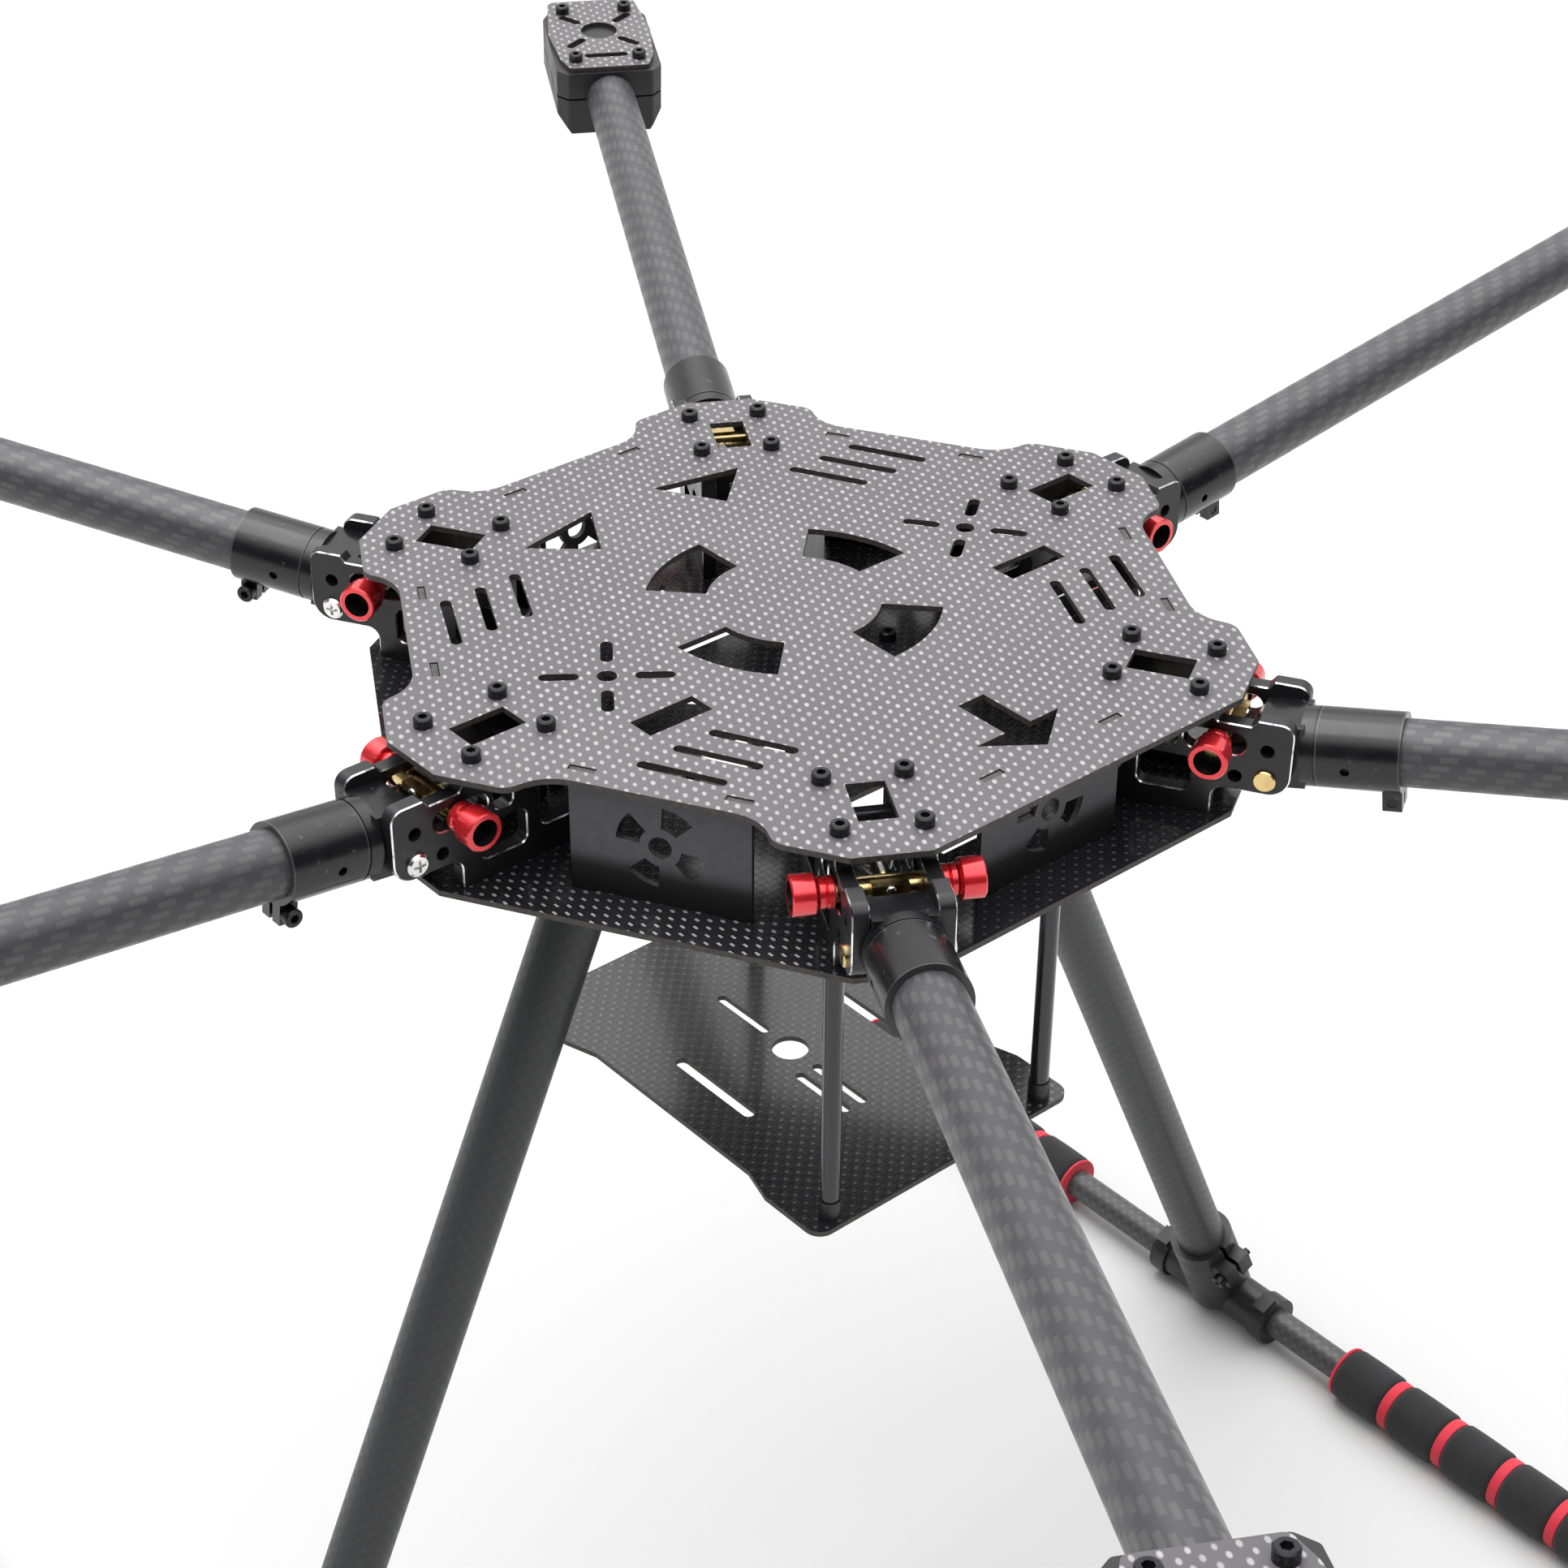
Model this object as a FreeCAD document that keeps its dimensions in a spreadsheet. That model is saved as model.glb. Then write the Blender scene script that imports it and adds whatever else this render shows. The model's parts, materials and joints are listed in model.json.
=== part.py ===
import FreeCAD, Part
import math
import os
import Sketcher

# Folding hexacopter airframe: a flat hub of two carbon plates, six tube arms that
# fold down on hinge pins, a battery tray on four posts, and two splayed landing legs
# on padded skids.  Millimetres.  +Z is up and Z = 0 is the ground under the skid pads.
# The arrow cut in the top plate points to the front, which is -Y, and X = 0 is the
# middle.  An arm's own frame has X along the arm, away from the middle of the hub.

Vector = FreeCAD.Vector
Rotation = FreeCAD.Rotation
Placement = FreeCAD.Placement

Z_AXIS = Vector(0, 0, 1)
Y_AXIS = Vector(0, 1, 0)
X_AXIS = Vector(1, 0, 0)

doc = FreeCAD.newDocument("hexacopter_frame")

# ---------------------------------------------------------------- driving dimensions

SIZES = {
    # hub
    "hub_top": 343.0,            # top face of the top plate
    "plate_thick": 1.5,          # every carbon plate of the hub and the battery tray
    "hub_gap": 30.0,             # between the two hub plates
    "side_distance": 93.5,       # middle of the hub to a side of the top plate
    "lobe_distance": 101.5,      # middle of the hub to the sloped edge of an arm lobe
    "lobe_end": 112.0,           # middle of the hub to the flat end of an arm lobe
    "base_distance": 101.0,      # middle of the hub to a side of the bottom plate
    "base_corner": 112.0,        # middle of the hub to a cut corner of the bottom plate
    "bolt_inner": 81.4,          # bracket bolts, along the arm
    "bolt_outer": 102.0,
    "panel_distance": 88.3,      # middle of the hub to a side panel
    "panel_width": 43.2,
    "panel_tab": 6.0,
    "tab_offset": 18.5,
    "accessory_x": 57.0,         # the two accessory holes, from the middle of the top plate
    "accessory_hole": 4.8,
    # arm brackets
    "bracket_thick": 4.0,
    "bracket_inside": 7.3,       # arm centre line to the inner face of a bracket plate
    "hinge_out": 119.4,          # hinge pin, along the arm
    "hinge_down": 19.4,          # hinge pin, below the top face of the top plate
    "hinge_dia": 4.0,
    "latch_out": 107.5,          # latch bar, along the arm
    "latch_down": 11.2,
    "latch_dia": 5.5,
    "latch_travel": 5.0,
    # arms
    "arm_rise": 7.0,             # degrees that a locked arm rises above level
    "tube_lift": 3.7,            # arm tube axis above the hinge pin
    "tube_dia": 16.0,
    "tube_bore": 14.0,
    "sleeve_dia": 19.0,
    "sleeve_start": 7.5,         # from the hinge pin, along the arm
    "sleeve_end": 30.6,
    "motor_out": 237.4,          # hinge pin to the motor centre, along the arm
    "motor_bore": 12.0,
    # small screws
    "screw_dia": 2.5,
    "screw_head": 4.5,
    "screw_head_tall": 2.5,
    # battery tray
    "tray_top": 206.0,
    "tray_half_length": 61.7,
    "tray_half_width": 44.0,
    "tray_waist": 41.0,
    "tray_hole": 10.0,
    "post_x": 36.2,
    "post_y": 57.2,
    "post_dia": 5.0,
    "foot_tall": 5.5,
    "foot_dia": 5.8,
    # landing gear
    "leg_start": 56.7,           # leg axis at the underside of the bottom plate
    "leg_splay": 24.4,           # degrees from upright
    "skid_height": 9.0,          # skid tube axis above the ground
    "skid_dia": 10.0,
    "skid_bore": 8.0,
    "skid_length": 340.0,
    "skid_shift": 6.5,           # the skid tubes sit this far to the rear in their tees
    "pad_dia": 18.0,
    "ring_dia": 16.8,
    "pad_length": 18.5,
    "ring_length": 3.5,
    "end_disc": 1.0,             # thin ring at each end of a grip
    # clearances
    "running": 0.05,             # radial, where one piece turns or slides in another
    "snug": 0.02,                # radial, where a fixed piece sits in a hole
}

sheet = doc.addObject("Spreadsheet::Sheet", "sizes")
for row, (alias, value) in enumerate(SIZES.items(), start=1):
    sheet.set("A%d" % row, alias.replace("_", " "))
    sheet.set("B%d" % row, str(value))
    sheet.setAlias("B%d" % row, alias)
doc.recompute()


def size(alias):
    return float(sheet.get(alias))


ARMS = {
    "front_left": -120.0,
    "front_right": -60.0,
    "right": 0.0,
    "rear_right": 60.0,
    "rear_left": 120.0,
    "left": 180.0,
}
SIDE_ANGLES = [angle + 30.0 for angle in ARMS.values()]
FRONT = -90.0
QUARTERS = (0, 90, 180, 270)
SECTOR_SWEEP = 43.5              # degrees that each window round the middle of a plate spans

HUB_TOP = size("hub_top")
PLATE = size("plate_thick")
GAP = size("hub_gap")
BASE_TOP = HUB_TOP - PLATE - GAP
BASE_UNDER = BASE_TOP - PLATE
BRACKET_MID = size("bracket_inside") + size("bracket_thick") / 2
BRACKET_OUTSIDE = size("bracket_inside") + size("bracket_thick")
HINGE_Z = HUB_TOP - size("hinge_down")
LATCH_Z = HUB_TOP - size("latch_down")
SCREW_R = size("screw_dia") / 2
HEAD_TALL = size("screw_head_tall")
TAPPED_R = SCREW_R + size("snug")
CLEAR_R = SCREW_R + 0.1          # clearance hole for a small screw
SPLAY = math.radians(size("leg_splay"))

nodes = []                       # the finished sub-parts, one for each STEP file


# ------------------------------------------------------------------- drawing helpers

def turned(angle):
    """A placement that turns a piece about the upright middle of the hub."""
    return Placement(Vector(0, 0, 0), Rotation(Z_AXIS, angle))


def moved(x, y, z):
    return Placement(Vector(x, y, z), Rotation())


def polar(distance, angle, along=0.0):
    """The point at a distance in a direction, then moved sideways to the left."""
    a = math.radians(angle)
    return Vector(distance * math.cos(a) - along * math.sin(a),
                  distance * math.sin(a) + along * math.cos(a), 0)


def new_body(name):
    body = doc.addObject("PartDesign::Body", name)
    body.Label = name
    return body


def origin_plane(body, role):
    return [f for f in body.Origin.OriginFeatures if f.Role == role][0]


def new_sketch(body, name, role="XY_Plane", offset=0.0):
    sketch = body.newObject("Sketcher::SketchObject", name)
    sketch.AttachmentSupport = [(origin_plane(body, role), "")]
    sketch.MapMode = "FlatFace"
    sketch.AttachmentOffset = moved(0, 0, offset)
    return sketch


def draw_polygon(sketch, points):
    for start, end in zip(points, points[1:] + points[:1]):
        sketch.addGeometry(Part.LineSegment(start, end), False)


def draw_circle(sketch, centre, radius, alias=None):
    """A circle; with an alias its diameter follows that cell of the sheet."""
    index = sketch.addGeometry(Part.Circle(centre, Z_AXIS, radius), False)
    if alias:
        rule = sketch.addConstraint(Sketcher.Constraint("Diameter", index, 2 * radius))
        sketch.setExpression("Constraints[%d]" % rule, "sizes." + alias)


def draw_box(sketch, centre, length, width, angle=0.0):
    corners = []
    for sx, sy in ((-1, -1), (1, -1), (1, 1), (-1, 1)):
        corner = Vector(sx * length / 2, sy * width / 2, 0)
        corners.append(Rotation(Z_AXIS, angle).multVec(corner) + centre)
    draw_polygon(sketch, corners)


def draw_slot(sketch, start, end, width):
    """A slot with round ends, given the centres of its two ends."""
    along = end.sub(start).normalize()
    side = Vector(-along.y, along.x, 0) * (width / 2)
    nose = along * (width / 2)
    sketch.addGeometry(Part.LineSegment(start - side, end - side), False)
    sketch.addGeometry(Part.Arc(end - side, end + nose, end + side), False)
    sketch.addGeometry(Part.LineSegment(end + side, start + side), False)
    sketch.addGeometry(Part.Arc(start + side, start - nose, start - side), False)


def draw_sector(sketch, centre, inner, outer, first, last):
    """A window bounded by two arcs about a centre and two straight ends."""
    middle = (first + last) / 2
    p = [centre + polar(r, a) for r, a in
         ((inner, first), (outer, first), (outer, middle),
          (outer, last), (inner, last), (inner, middle))]
    sketch.addGeometry(Part.LineSegment(p[0], p[1]), False)
    sketch.addGeometry(Part.Arc(p[1], p[2], p[3]), False)
    sketch.addGeometry(Part.LineSegment(p[3], p[4]), False)
    sketch.addGeometry(Part.Arc(p[4], p[5], p[0]), False)


def rounded_outline(sketch, corners):
    """A closed outline of straight sides; each corner is (x, y, radius)."""
    count = len(corners)
    ends = []
    for i, (x, y, radius) in enumerate(corners):
        here = Vector(x, y, 0)
        before = Vector(*corners[i - 1][:2], 0).sub(here).normalize()
        after = Vector(*corners[(i + 1) % count][:2], 0).sub(here).normalize()
        half = before.getAngle(after) / 2
        cut = radius / math.tan(half)
        inward = (before + after).normalize()
        middle = here + inward * (radius / math.sin(half) - radius)
        ends.append((here + before * cut, middle, here + after * cut, radius))
    for i in range(count):
        first, middle, last, radius = ends[i]
        if radius > 0:
            sketch.addGeometry(Part.Arc(first, middle, last), False)
        sketch.addGeometry(Part.LineSegment(last, ends[(i + 1) % count][0]), False)


def pad(body, sketch, alias=None, length=None, both_ways=False):
    feature = body.newObject("PartDesign::Pad", sketch.Name + "Pad")
    feature.Profile = sketch
    if alias:
        feature.setExpression("Length", "sizes." + alias)
    else:
        feature.Length = length
    if both_ways:
        feature.SideType = "Symmetric"
    sketch.Visibility = False
    return feature


def cut_through(body, sketch):
    feature = body.newObject("PartDesign::Pocket", sketch.Name + "Cut")
    feature.Profile = sketch
    feature.Type = "ThroughAll"
    feature.SideType = "Symmetric"
    return feature


def cut_blind(body, sketch, depth, reverse=False):
    feature = body.newObject("PartDesign::Pocket", sketch.Name + "Cut")
    feature.Profile = sketch
    feature.Length = depth
    feature.Reversed = reverse
    return feature


def revolve(body, sketch, axis="H_Axis"):
    feature = body.newObject("PartDesign::Revolution", sketch.Name + "Turned")
    feature.Profile = sketch
    feature.ReferenceAxis = (sketch, [axis])
    feature.Angle = 360
    return feature


def chamfer_faces(body, base, normal, amount):
    """Bevel every edge of the flat faces of a pad that look along a direction."""
    doc.recompute()
    names = []
    for i, face in enumerate(base.Shape.Faces, start=1):
        if face.Surface.TypeId == "Part::GeomPlane":
            if abs(face.normalAt(0, 0).dot(normal)) > 0.999:
                names.append("Face%d" % i)
    feature = body.newObject("PartDesign::Chamfer", "EdgeBevel")
    feature.Base = (base, names)
    feature.Size = amount
    return feature


def link_to(seed, name, place):
    """A placed instance of a piece that occurs more than once."""
    link = doc.addObject("App::Link", name)
    link.LinkedObject = seed
    link.Placement = place
    link.Label = name
    return link


def group(name, placed):
    """One node of separate solids: placed is a list of (seed, placement)."""
    copies = [link_to(seed, "%s_%02d" % (name, i), place)
              for i, (seed, place) in enumerate(placed, start=1)]
    compound = doc.addObject("Part::Compound", name)
    compound.Label = name
    compound.Links = copies
    nodes.append(compound)
    return compound


def keep(piece):
    nodes.append(piece)
    return piece


# --------------------------------------------------------------------- hub: top plate

def top_plate_outline(sketch):
    """Arm lobes joined by six sides; the front one is straight, the others step in."""
    side = size("side_distance")
    lobe = size("lobe_distance")
    end = size("lobe_end")
    corner_r = 5.0               # where the lobe edge starts to turn in
    scallop_r = 12.0             # where it meets the side
    flat_half = 19.0             # half of the straight side
    step = lobe - side
    across = math.sqrt((corner_r + scallop_r) ** 2 - (corner_r + scallop_r - step) ** 2)
    lobe_start = flat_half + across
    turn = math.acos((corner_r + scallop_r - step) / (corner_r + scallop_r))
    lobe_corner = end * math.sin(math.radians(30)) - \
        (lobe - end * math.cos(math.radians(30))) / math.tan(math.radians(30))
    meet_n = side + scallop_r * (1 - math.cos(turn))
    meet_t = flat_half + scallop_r * math.sin(turn)
    soft_n = side + scallop_r * (1 - math.cos(turn / 2))
    soft_t = flat_half + scallop_r * math.sin(turn / 2)
    tight_n = lobe - corner_r * (1 - math.cos(turn / 2))
    tight_t = lobe_start - corner_r * math.sin(turn / 2)
    for i, angle in enumerate(SIDE_ANGLES):
        corner_before = polar(lobe, angle, -lobe_corner)
        corner_after = polar(lobe, angle, lobe_corner)
        next_corner = polar(lobe, SIDE_ANGLES[(i + 1) % 6], -lobe_corner)
        sketch.addGeometry(Part.LineSegment(corner_after, next_corner), False)
        if angle == FRONT:
            sketch.addGeometry(Part.LineSegment(corner_before, corner_after), False)
            continue
        sketch.addGeometry(Part.LineSegment(corner_before, polar(lobe, angle, -lobe_start)), False)
        sketch.addGeometry(Part.Arc(polar(lobe, angle, -lobe_start),
                                    polar(tight_n, angle, -tight_t),
                                    polar(meet_n, angle, -meet_t)), False)
        sketch.addGeometry(Part.Arc(polar(meet_n, angle, -meet_t),
                                    polar(soft_n, angle, -soft_t),
                                    polar(side, angle, -flat_half)), False)
        sketch.addGeometry(Part.LineSegment(polar(side, angle, -flat_half),
                                            polar(side, angle, flat_half)), False)
        sketch.addGeometry(Part.Arc(polar(side, angle, flat_half),
                                    polar(soft_n, angle, soft_t),
                                    polar(meet_n, angle, meet_t)), False)
        sketch.addGeometry(Part.Arc(polar(meet_n, angle, meet_t),
                                    polar(tight_n, angle, tight_t),
                                    polar(lobe, angle, lobe_start)), False)
        sketch.addGeometry(Part.LineSegment(polar(lobe, angle, lobe_start), corner_after), False)


def draw_bolt_holes(sketch):
    for angle in ARMS.values():
        for distance in (size("bolt_inner"), size("bolt_outer")):
            for side in (-BRACKET_MID, BRACKET_MID):
                draw_circle(sketch, polar(distance, angle, side), CLEAR_R)


def draw_tab_slots(sketch):
    play = 0.45
    for angle in SIDE_ANGLES:
        for offset in (-size("tab_offset"), size("tab_offset")):
            draw_box(sketch, polar(size("panel_distance"), angle, offset),
                     PLATE + play, size("panel_tab") + play, angle)


def draw_vents(sketch):
    """Three slanting cable-tie slots beside each of the four corner sides."""
    slot_width = 2.8
    half_length = 9.4
    slant = math.radians(63.0)
    first_x = 49.5
    pitch = 10.3
    middle_y = 43.8
    for sx in (-1, 1):
        for sy in (-1, 1):
            lean = Vector(-math.cos(slant) * sx, math.sin(slant) * sy, 0) * half_length
            for k in range(3):
                centre = Vector(sx * (first_x + k * pitch), sy * middle_y, 0)
                draw_slot(sketch, centre - lean, centre + lean, slot_width)


def draw_cross_slots(sketch, centre, twist, inner, outer, width):
    """Four slots about a round hole, for an accessory or a motor."""
    for k in range(4):
        angle = twist + 45 + 90 * k
        draw_slot(sketch, centre + polar(inner, angle), centre + polar(outer, angle), width)


def make_top_plate():
    arm_window = 91.0            # middle of the hub to the window over each bracket pair
    ring_inner = 21.3            # the four windows round the middle
    ring_outer = 36.2
    body = new_body("top_plate")
    outline = new_sketch(body, "TopOutline")
    top_plate_outline(outline)
    pad(body, outline, "plate_thick")

    holes = new_sketch(body, "TopHoles")
    draw_bolt_holes(holes)
    draw_tab_slots(holes)
    cut_through(body, holes)

    windows = new_sketch(body, "TopWindows")
    for angle in ARMS.values():
        draw_box(windows, polar(arm_window, angle), 15.0, 9.0, angle)
    draw_vents(windows)
    for sx in (-1, 1):
        accessory = Vector(sx * size("accessory_x"), 0, 0)
        draw_circle(windows, accessory, size("accessory_hole") / 2)
        draw_cross_slots(windows, accessory, -8.0 * sx, 8.0, 14.4, 3.0)
        draw_box(windows, Vector(sx * 56.6, -23.3, 0), 18.0, 7.5)
        triangle = [(34.5, 62.5), (10.0, 67.5), (20.2, 49.8)]
        draw_polygon(windows, [Vector(sx * x, y, 0) for x, y in triangle])
    for start in QUARTERS:
        draw_sector(windows, Vector(0, 0, 0), ring_inner, ring_outer, start, start + SECTOR_SWEEP)
    arrow = [(-4, -62), (4, -62), (4, -77.4), (12.8, -77.4), (0, -87), (-12.8, -77.4), (-4, -77.4)]
    draw_polygon(windows, [Vector(x, y, 0) for x, y in arrow])
    cut_through(body, windows)
    body.Placement = moved(0, 0, HUB_TOP - PLATE)
    return keep(body)


# ------------------------------------------------------------------ hub: bottom plate

def make_bottom_plate():
    ring_inner = 16.0
    ring_outer = 31.0
    strap_y = 43.0
    cable_y = 66.0
    body = new_body("bottom_plate")
    outline = new_sketch(body, "BaseOutline")
    side = size("base_distance")
    reach = size("base_corner")
    half = (side / math.cos(math.radians(30)) - reach) / math.tan(math.radians(30))
    corners = []
    for angle in ARMS.values():
        corners.append(polar(reach, angle, -half))
        corners.append(polar(reach, angle, half))
    draw_polygon(outline, corners)
    pad(body, outline, "plate_thick")

    holes = new_sketch(body, "BaseHoles")
    draw_bolt_holes(holes)
    draw_tab_slots(holes)
    for x, y in post_places():
        draw_circle(holes, Vector(x, y, 0), CLEAR_R)
    for x, y in socket_bolts():
        draw_circle(holes, Vector(x, y, 0), CLEAR_R)
    cut_through(body, holes)

    windows = new_sketch(body, "BaseWindows")
    for start in QUARTERS:
        draw_sector(windows, Vector(0, 0, 0), ring_inner, ring_outer, start, start + SECTOR_SWEEP)
    for sy in (-1, 1):
        draw_slot(windows, Vector(-16, sy * strap_y, 0), Vector(16, sy * strap_y, 0), 8.0)
        draw_box(windows, Vector(0, sy * cable_y, 0), 30.0, 9.0)
    cut_through(body, windows)
    body.Placement = moved(0, 0, BASE_UNDER)
    return keep(body)


# ------------------------------------------------------------------- hub: side panels

def make_side_panels():
    seed = new_body("side_panel_seed")
    face = new_sketch(seed, "PanelFace", "XZ_Plane")
    half = size("panel_width") / 2
    tab_in = size("tab_offset") - size("panel_tab") / 2
    tab_out = size("tab_offset") + size("panel_tab") / 2
    tab_reach = PLATE - 0.3
    top = GAP + tab_reach
    low = -tab_reach
    outline = [(-half, 0), (-tab_out, 0), (-tab_out, low), (-tab_in, low), (-tab_in, 0),
               (tab_in, 0), (tab_in, low), (tab_out, low), (tab_out, 0), (half, 0),
               (half, GAP), (tab_out, GAP), (tab_out, top), (tab_in, top), (tab_in, GAP),
               (-tab_in, GAP), (-tab_in, top), (-tab_out, top), (-tab_out, GAP), (-half, GAP)]
    draw_polygon(face, [Vector(x, y, 0) for x, y in outline])
    pad(seed, face, "plate_thick", both_ways=True)

    windows = new_sketch(seed, "PanelWindows", "XZ_Plane")
    centre = Vector(0, GAP - 14.8, 0)
    draw_circle(windows, centre, 2.8)
    for start in QUARTERS:
        draw_sector(windows, centre, 5.0, 10.6, start + 93, start + 137)
    cut_through(seed, windows)

    placed = []
    for angle in SIDE_ANGLES:
        place = Placement(polar(size("panel_distance"), angle) + Vector(0, 0, BASE_TOP),
                          Rotation(Z_AXIS, angle - 90))
        placed.append((seed, place))
    return group("side_panels", placed)


# ------------------------------------------------------------------ hub: arm brackets

def make_brackets():
    """Two plates for each arm, clamped on edge between the hub plates."""
    seed = new_body("bracket_seed")
    face = new_sketch(seed, "BracketFace", "XZ_Plane")
    top = GAP
    hub = HUB_TOP - BASE_TOP     # heights below the top face, measured up from the base
    hinge_x = size("hinge_out")
    ear_end = hinge_x + 5.9
    ear_low = hub - 23.3
    rounded_outline(face, [
        (70.0, 0, 0.8), (107.3, 0, 0.8), (107.3, ear_low, 3.0), (ear_end, ear_low, 5.4),
        (ear_end, hub - 4.0, 3.2), (116.6, hub - 4.0, 0.7), (115.2, hub - 5.8, 0.7),
        (107.2, hub - 5.8, 1.2), (104.6, top, 1.2), (70.0, top, 0.8)])
    pad(seed, face, "bracket_thick", both_ways=True)

    windows = new_sketch(seed, "BracketWindows", "XZ_Plane")
    rounded_outline(windows, [(89.4, hub - 26.0, 2.0), (102.0, hub - 26.0, 2.0),
                              (102.0, hub - 16.8, 2.0), (89.4, hub - 16.8, 2.0)])
    rounded_outline(windows, [(92.8, hub - 14.4, 1.8), (98.0, hub - 14.4, 1.8),
                              (98.0, hub - 8.0, 1.8), (92.8, hub - 8.0, 1.8)])
    rounded_outline(windows, [(73.8, hub - 23.6, 2.0), (85.4, hub - 23.6, 2.0),
                              (85.4, hub - 11.5, 2.0), (73.8, hub - 11.5, 2.0)])
    latch_y = hub - size("latch_down")
    slot_width = size("latch_dia") + 2 * size("running")
    draw_slot(windows, Vector(size("latch_out") - size("latch_travel") - 0.1, latch_y, 0),
              Vector(111.6, latch_y, 0), slot_width)
    holes_cut = cut_through(seed, windows)
    chamfer_faces(seed, holes_cut, Y_AXIS, 0.3)

    holes = new_sketch(seed, "BracketHoles", "XZ_Plane")
    draw_circle(holes, Vector(hinge_x, hub - size("hinge_down"), 0),
                size("hinge_dia") / 2 + size("snug"))
    draw_circle(holes, Vector(hinge_x, hub - 11.6, 0), 1.7)
    draw_circle(holes, Vector(112.4, hub - 19.6, 0), 1.7)
    cut_through(seed, holes)

    for name, height, depth, reverse in (("ThreadsTop", top, 8.0, False),
                                         ("ThreadsBase", 0.0, 5.0, True)):
        threads = new_sketch(seed, name, "XY_Plane", height)
        for x in (size("bolt_inner"), size("bolt_outer")):
            draw_circle(threads, Vector(x, 0, 0), TAPPED_R)
        cut_blind(seed, threads, depth, reverse)

    placed = []
    for angle in ARMS.values():
        for side in (-BRACKET_MID, BRACKET_MID):
            place = turned(angle).multiply(moved(0, side, BASE_TOP))
            placed.append((seed, place))
    return group("arm_brackets", placed)


# ----------------------------------------------------------------------------- screws

def make_cap_screw(name, length, tall, key_depth=1.4):
    """Socket cap screw standing on Z = 0, head up, shank down."""
    body = new_body(name)
    profile = new_sketch(body, name + "Profile", "XZ_Plane")
    head_r = size("screw_head") / 2
    edge = 0.3
    draw_polygon(profile, [Vector(x, y, 0) for x, y in
                           ((0, -length), (SCREW_R, -length), (SCREW_R, 0), (head_r, 0),
                            (head_r, tall - edge), (head_r - edge, tall), (0, tall))])
    revolve(body, profile, "V_Axis")
    socket = new_sketch(body, name + "Socket", "XY_Plane", tall)
    key_width = 2.0
    draw_polygon(socket, [polar(key_width / math.sqrt(3), 60 * k) for k in range(6)])
    cut_blind(body, socket, key_depth)
    return body


def post_places():
    return [(sx * size("post_x"), sy * size("post_y")) for sx in (-1, 1) for sy in (-1, 1)]


SOCKET_BOLTS_X = (-15.0, 8.0)    # from the leg axis, outwards
SOCKET_BOLTS_Y = (-11.0, 11.0)


def socket_bolts():
    """Four bolts hold each leg socket under the bottom plate."""
    return [(sx * (size("leg_start") + dx), dy)
            for sx in (-1, 1) for dx in SOCKET_BOLTS_X for dy in SOCKET_BOLTS_Y]


UPSIDE_DOWN = Rotation(X_AXIS, 180)


def make_frame_screws():
    """Black cap screws of the hub, the battery tray, the leg sockets and the tees."""
    short_screw = make_cap_screw("short_screw_seed", 8.0, HEAD_TALL)
    long_screw = make_cap_screw("long_screw_seed", 13.0, HEAD_TALL)
    low_screw = make_cap_screw("low_screw_seed", 6.0, 0.8, key_depth=0.5)
    placed = []
    for angle in ARMS.values():
        for distance in (size("bolt_inner"), size("bolt_outer")):
            for side in (-BRACKET_MID, BRACKET_MID):
                spot = polar(distance, angle, side)
                placed.append((short_screw, Placement(spot + Vector(0, 0, HUB_TOP), Rotation())))
                placed.append((low_screw, Placement(spot + Vector(0, 0, BASE_UNDER), UPSIDE_DOWN)))
    tray_under = size("tray_top") - PLATE
    for x, y in post_places():
        placed.append((short_screw, moved(x, y, BASE_TOP)))
        placed.append((long_screw, Placement(Vector(x, y, tray_under), UPSIDE_DOWN)))
    for x, y in socket_bolts():
        placed.append((short_screw, moved(x, y, BASE_TOP)))
    for sx in (-1, 1):
        in_lug = Placement(Vector(-TEE_LUG_HALF, -TEE_SCREW_OUT, TEE_LUG_UP), Rotation(Y_AXIS, -90))
        placed.append((long_screw, tee_place(sx).multiply(in_lug)))
    return group("frame_screws", placed)


# --------------------------------------------------------------------- hinge hardware

def make_hinge_pins():
    seed = new_body("hinge_pin_seed")
    profile = new_sketch(seed, "PinProfile", "XZ_Plane")
    radius = size("hinge_dia") / 2
    head_r = 2.7
    head_tall = 0.9
    reach = 2 * BRACKET_OUTSIDE
    bore_deep = 7.0
    draw_polygon(profile, [Vector(x, y, 0) for x, y in
                           ((0, -head_tall), (head_r - 0.3, -head_tall), (head_r, -head_tall + 0.3),
                            (head_r, 0), (radius, 0), (radius, reach), (TAPPED_R, reach),
                            (TAPPED_R, reach - bore_deep), (0, reach - bore_deep))])
    revolve(seed, profile, "V_Axis")
    placed = []
    for angle in ARMS.values():
        place = turned(angle).multiply(Placement(
            Vector(size("hinge_out"), -BRACKET_OUTSIDE, HINGE_Z), Rotation(X_AXIS, -90)))
        placed.append((seed, place))
    return group("hinge_pins", placed)


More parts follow.
